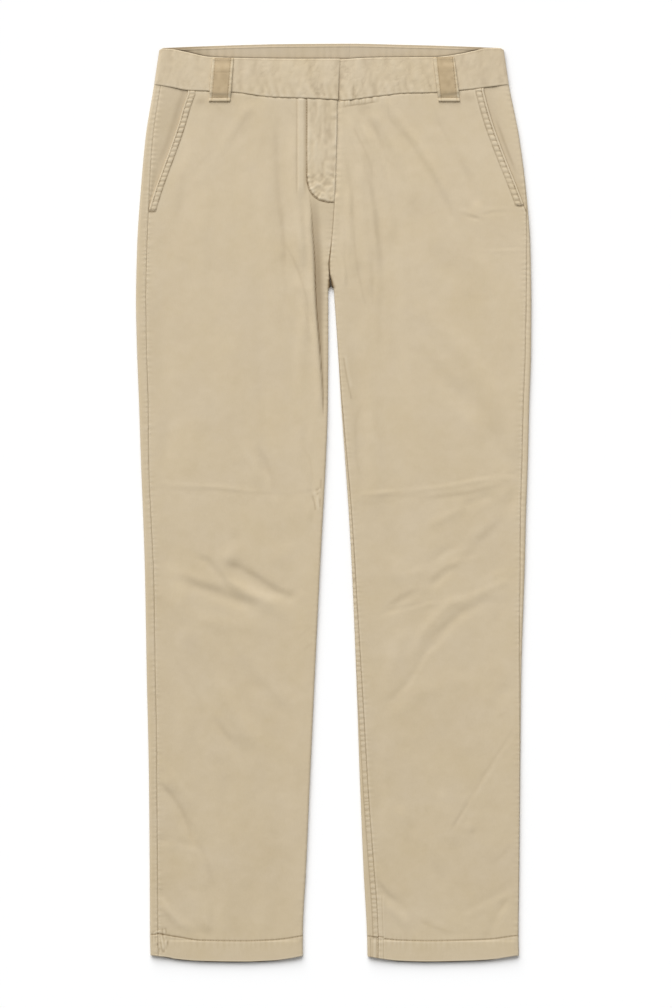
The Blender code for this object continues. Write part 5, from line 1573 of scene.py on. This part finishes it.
def stitchTree():
    # small stitches laid along every path of the mesh that carries the modifier
    tree = bpy.data.node_groups.new("stitches", "GeometryNodeTree")
    face = tree.interface
    face.new_socket("Paths", in_out="INPUT", socket_type="NodeSocketGeometry")
    for name in ("Pitch", "Length", "Radius"):
        face.new_socket(name, in_out="INPUT", socket_type="NodeSocketFloat")
    face.new_socket("Thread", in_out="INPUT", socket_type="NodeSocketMaterial")
    face.new_socket("Stitches", in_out="OUTPUT", socket_type="NodeSocketGeometry")

    def add(kind, links=None, **settings):
        node = tree.nodes.new(kind)
        for name, value in settings.items():
            setattr(node, name, value)
        for name, value in (links or {}).items():
            if isinstance(value, bpy.types.NodeSocket):
                tree.links.new(value, node.inputs[name])
            else:
                node.inputs[name].default_value = value
        return node

    given = add("NodeGroupInput").outputs
    curve = add("GeometryNodeMeshToCurve", {"Mesh": given["Paths"]}).outputs[0]
    spaced = add("GeometryNodeResampleCurve", {"Curve": curve, "Length": given["Pitch"]},
                 mode="LENGTH").outputs[0]
    bead = add("GeometryNodeMeshUVSphere", {"Segments": 6, "Rings": 4, "Radius": 1.0}).outputs[0]
    along = add("GeometryNodeInputTangent").outputs[0]
    turned = add("FunctionNodeAlignRotationToVector", {"Vector": along}, axis="Z").outputs[0]
    half = add("ShaderNodeMath", {0: given["Length"], 1: 0.5}, operation="MULTIPLY").outputs[0]
    size = add("ShaderNodeCombineXYZ", {0: given["Radius"], 1: given["Radius"], 2: half}).outputs[0]
    placed = add("GeometryNodeInstanceOnPoints", {"Points": spaced, "Instance": bead, "Rotation": turned,
                                                  "Scale": size}).outputs[0]
    solid = add("GeometryNodeRealizeInstances", {0: placed}).outputs[0]
    soft = add("GeometryNodeSetShadeSmooth", {0: solid}).outputs[0]
    painted = add("GeometryNodeSetMaterial", {"Geometry": soft, "Material": given["Thread"]}).outputs[0]
    add("NodeGroupOutput", {0: painted})
    return tree


def sewStitches(kind, paths, tree, thread):
    name = "stitches_" + kind
    points = np.concatenate(paths)
    edges, start = [], 0
    for path in paths:
        edges += [(start + k, start + k + 1) for k in range(len(path) - 1)]
        start += len(path)
    mesh = bpy.data.meshes.new(name + "Paths")
    mesh.from_pydata(points, edges, [])
    guide = addObject(name + "Paths", mesh)
    sewing = guide.modifiers.new("stitches", "NODES")
    sewing.node_group = tree
    inputs = {item.name: item.identifier for item in tree.interface.items_tree
              if item.item_type == "SOCKET" and item.in_out == "INPUT"}
    sewing[inputs["Pitch"]], sewing[inputs["Length"]] = stitching[kind]
    sewing[inputs["Radius"]] = stitching["radius"]
    sewing[inputs["Thread"]] = thread
    evaluated = guide.evaluated_get(bpy.context.evaluated_depsgraph_get())
    made = bpy.data.meshes.new_from_object(evaluated)
    made.name = name
    bpy.data.objects.remove(guide)
    print(name, len(made.polygons), "faces")
    return addObject(name, made)


def pathOn(cloth):
    # points just above a strip of cloth one column wide
    return (cloth["place"] + stitching["lift"] * cloth["outwards"])[:, 0]


def frontPath(half, points):
    # path over the front through places given as (across, height)
    x, h = np.array(points).T[:, :, None]
    row = h + 0.0
    for _ in range(4):
        row = row - (rowHeight(half, "front", x, row) - h)
    return pathOn(frontCloth(half, frontBody(half, row, x)))


def resampled(points, step):
    points = np.array(points)
    lengths = np.concatenate([[0], np.cumsum(np.hypot(*np.diff(points, axis=0).T))])
    places = np.linspace(0, lengths[-1], max(int(lengths[-1] / step), 2))
    return np.stack([np.interp(places, lengths, column) for column in points.T], -1)


def seamPaths(half):
    side, spacing = trousers["sides"][half], stitching["spacing"]
    low = np.arange(stitching["start"], leg["openingEnd"] - 0.001, spacing)[:, None]
    high = np.arange(leg["pocketEnd"][half] + 0.003, trousers["bandSide"] - 0.001, spacing)[:, None]
    paths = [pathOn(frontCloth(half, frontOuter(half, low, front["edgeStitch"] + 0 * low)))]
    for step in front["pocketStitches"][half]:
        paths.append(pathOn(frontCloth(half, frontOuter(half, high, step + 0 * high))))
    start, end = innerEdge(half, 0.02) + 0.004 * side, outline(half, 0.02) - 0.005 * side
    x = np.arange(start, end, spacing * side)[:, None]
    paths.append(pathOn(frontCloth(half, frontBody(half, leg["hemDepth"] + 0 * x, x))))
    if half == "right":
        paths.append(frontPath(half, resampled(jLine(), 0.0012)[1:-1]))
        share = back["outseamRow"] + 0 * low
        paths.append(pathOn(backCloth(half, backOuter(half, low, share))))
    else:
        felled = np.arange(stitching["start"], back["felledTop"], spacing)[:, None]
        seam = seamTurn("left_inseam", felled)
        quarter = math.pi * edgeThickness("left", "inner", felled) / 4
        for away in back["felled"]:
            paths.append(pathOn(backCloth(half, backInner(half, felled, away / (seam + quarter)))))
    return paths


def tackPaths(half):
    # bar tack at the lower end of the pocket opening
    h = leg["pocketEnd"][half] + stitching["tackRise"]
    edge = float(np.abs(pocketEdge(half, h))) - 0.0002
    step, swing = stitching["tackWidth"] / stitching["tackTurns"], stitching["tackHeight"] / 2
    zigzag = [(trousers["sides"][half] * (edge - step * k), h - 0.001 + swing * (-1) ** k)
              for k in range(stitching["tackTurns"] + 1)]
    return [frontPath(half, resampled(zigzag, 0.0008))]


def loopPaths(half):
    # the two rows along the edges, then the two across the ends
    paths = []
    t = np.linspace(0.03, 0.97, 60)[:, None]
    for side in (-1, 1):
        across = side * (0.5 - loop["margin"] / loop["width"]) + 0 * t
        paths.append(pathOn(finishCloth(*loopPlace(half, t, across))))
    across = np.linspace(-0.44, 0.44, 24)[:, None]
    for t in loop["rowsAcross"]:
        paths.append(pathOn(finishCloth(*loopPlace(half, t + 0 * across, across))))
    return paths


# putting it together

cloths = {name: clothMaterial(name, *colours) for name, colours in finishes.items()}
print("materials ready")

made = {}
for half in trousers["sides"]:
    made["front_" + half] = makeFront(half, cloths["khakiLeg"])
    made["back_" + half] = makeBack(half, cloths["khakiLeg"])
    made["pocket_bearer_" + half] = makeBearer(half, cloths["khakiLeg"])
    made["waistband_" + half] = makeBand(half, cloths["khakiBand"])
    made["band_facing_" + half] = makeFacing(half, cloths["khakiInsideShaded"])
    made["belt_loop_" + half] = makeLoop(half, cloths["khakiLoop"])

thread = threadMaterial("khakiThread", stitching["thread"])
stitchNodes = stitchTree()
stitchPieces = []
for kind, pathsOf in (("seams", seamPaths), ("loops", loopPaths), ("tacks", tackPaths)):
    paths = [path for half in trousers["sides"] for path in pathsOf(half)]
    stitchPieces.append(sewStitches(kind, paths, stitchNodes, thread))

# each piece hangs from the root body, and its solid from model.glb is hidden
for node, piece in made.items():
    kind, half = node.rsplit("_", 1)
    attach(piece, "root")
    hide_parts(node)
for piece in stitchPieces:
    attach(piece, "root")

# floor, light and camera

studio = {
    "floorSize": 16.0,
    "floorLevel": -0.0002,
    "floorSockets": {"Base Color": (0.93, 0.93, 0.93, 1.0), "Roughness": 0.9, "Specular IOR Level": 0.1},
    "skyStrength": 0.36,
    "skyColour": (1.0, 0.985, 0.95, 1.0),
    "keyColour": (0.99, 1.0, 1.02),
    "keyStrength": 3.70,
    "keyElevation": 38.0,      # degrees above the floor
    "keyAzimuth": 106.0,       # degrees from +X towards +Y
    "keySpread": 58.0,
    "keyDistance": 3.0,
    "viewHeight": 1.1239,      # metres of floor from the top to the bottom of the frame
    "viewMiddle": (0.00256, -0.00155),
    "cameraDistance": 6.0,
    "clipEnd": 30.0,
    "sensor": 36.0,
}


def makeStudio(s):
    scene = bpy.context.scene
    size = s["floorSize"] / 2
    mesh = bpy.data.meshes.new("floor")
    mesh.from_pydata([(-size, -size, 0), (size, -size, 0), (size, size, 0), (-size, size, 0)], [],
                     [(0, 1, 2, 3)])
    paint, shader = newMaterial("paleFloor")
    for socket, value in s["floorSockets"].items():
        shader.inputs[socket].default_value = value
    mesh.materials.append(paint)
    floor = addObject("floor", mesh)
    floor.location.z = s["floorLevel"]

    world = bpy.data.worlds.new("studio")
    world.use_nodes = True
    world.node_tree.nodes["Background"].inputs["Color"].default_value = s["skyColour"]
    world.node_tree.nodes["Background"].inputs["Strength"].default_value = s["skyStrength"]
    scene.world = world

    lamp = bpy.data.lights.new("key", "SUN")
    lamp.energy = s["keyStrength"]
    lamp.color = s["keyColour"]
    lamp.angle = math.radians(s["keySpread"])
    key = addObject("key", lamp)
    turn, tilt = math.radians(s["keyAzimuth"]), math.radians(s["keyElevation"])
    towards = Vector((math.cos(turn) * math.cos(tilt), math.sin(turn) * math.cos(tilt), math.sin(tilt)))
    key.rotation_euler = towards.to_track_quat("Z", "Y").to_euler()
    key.location = towards * s["keyDistance"]

    lens = bpy.data.cameras.new("camera")
    lens.sensor_width = s["sensor"]
    lens.lens = s["sensor"] * s["cameraDistance"] / s["viewHeight"]
    lens.clip_end = s["clipEnd"]
    camera = addObject("camera", lens)
    camera.location = (*s["viewMiddle"], s["cameraDistance"])
    scene.camera = camera
    scene.view_settings.view_transform = "Standard"


makeStudio(studio)
print("studio ready")
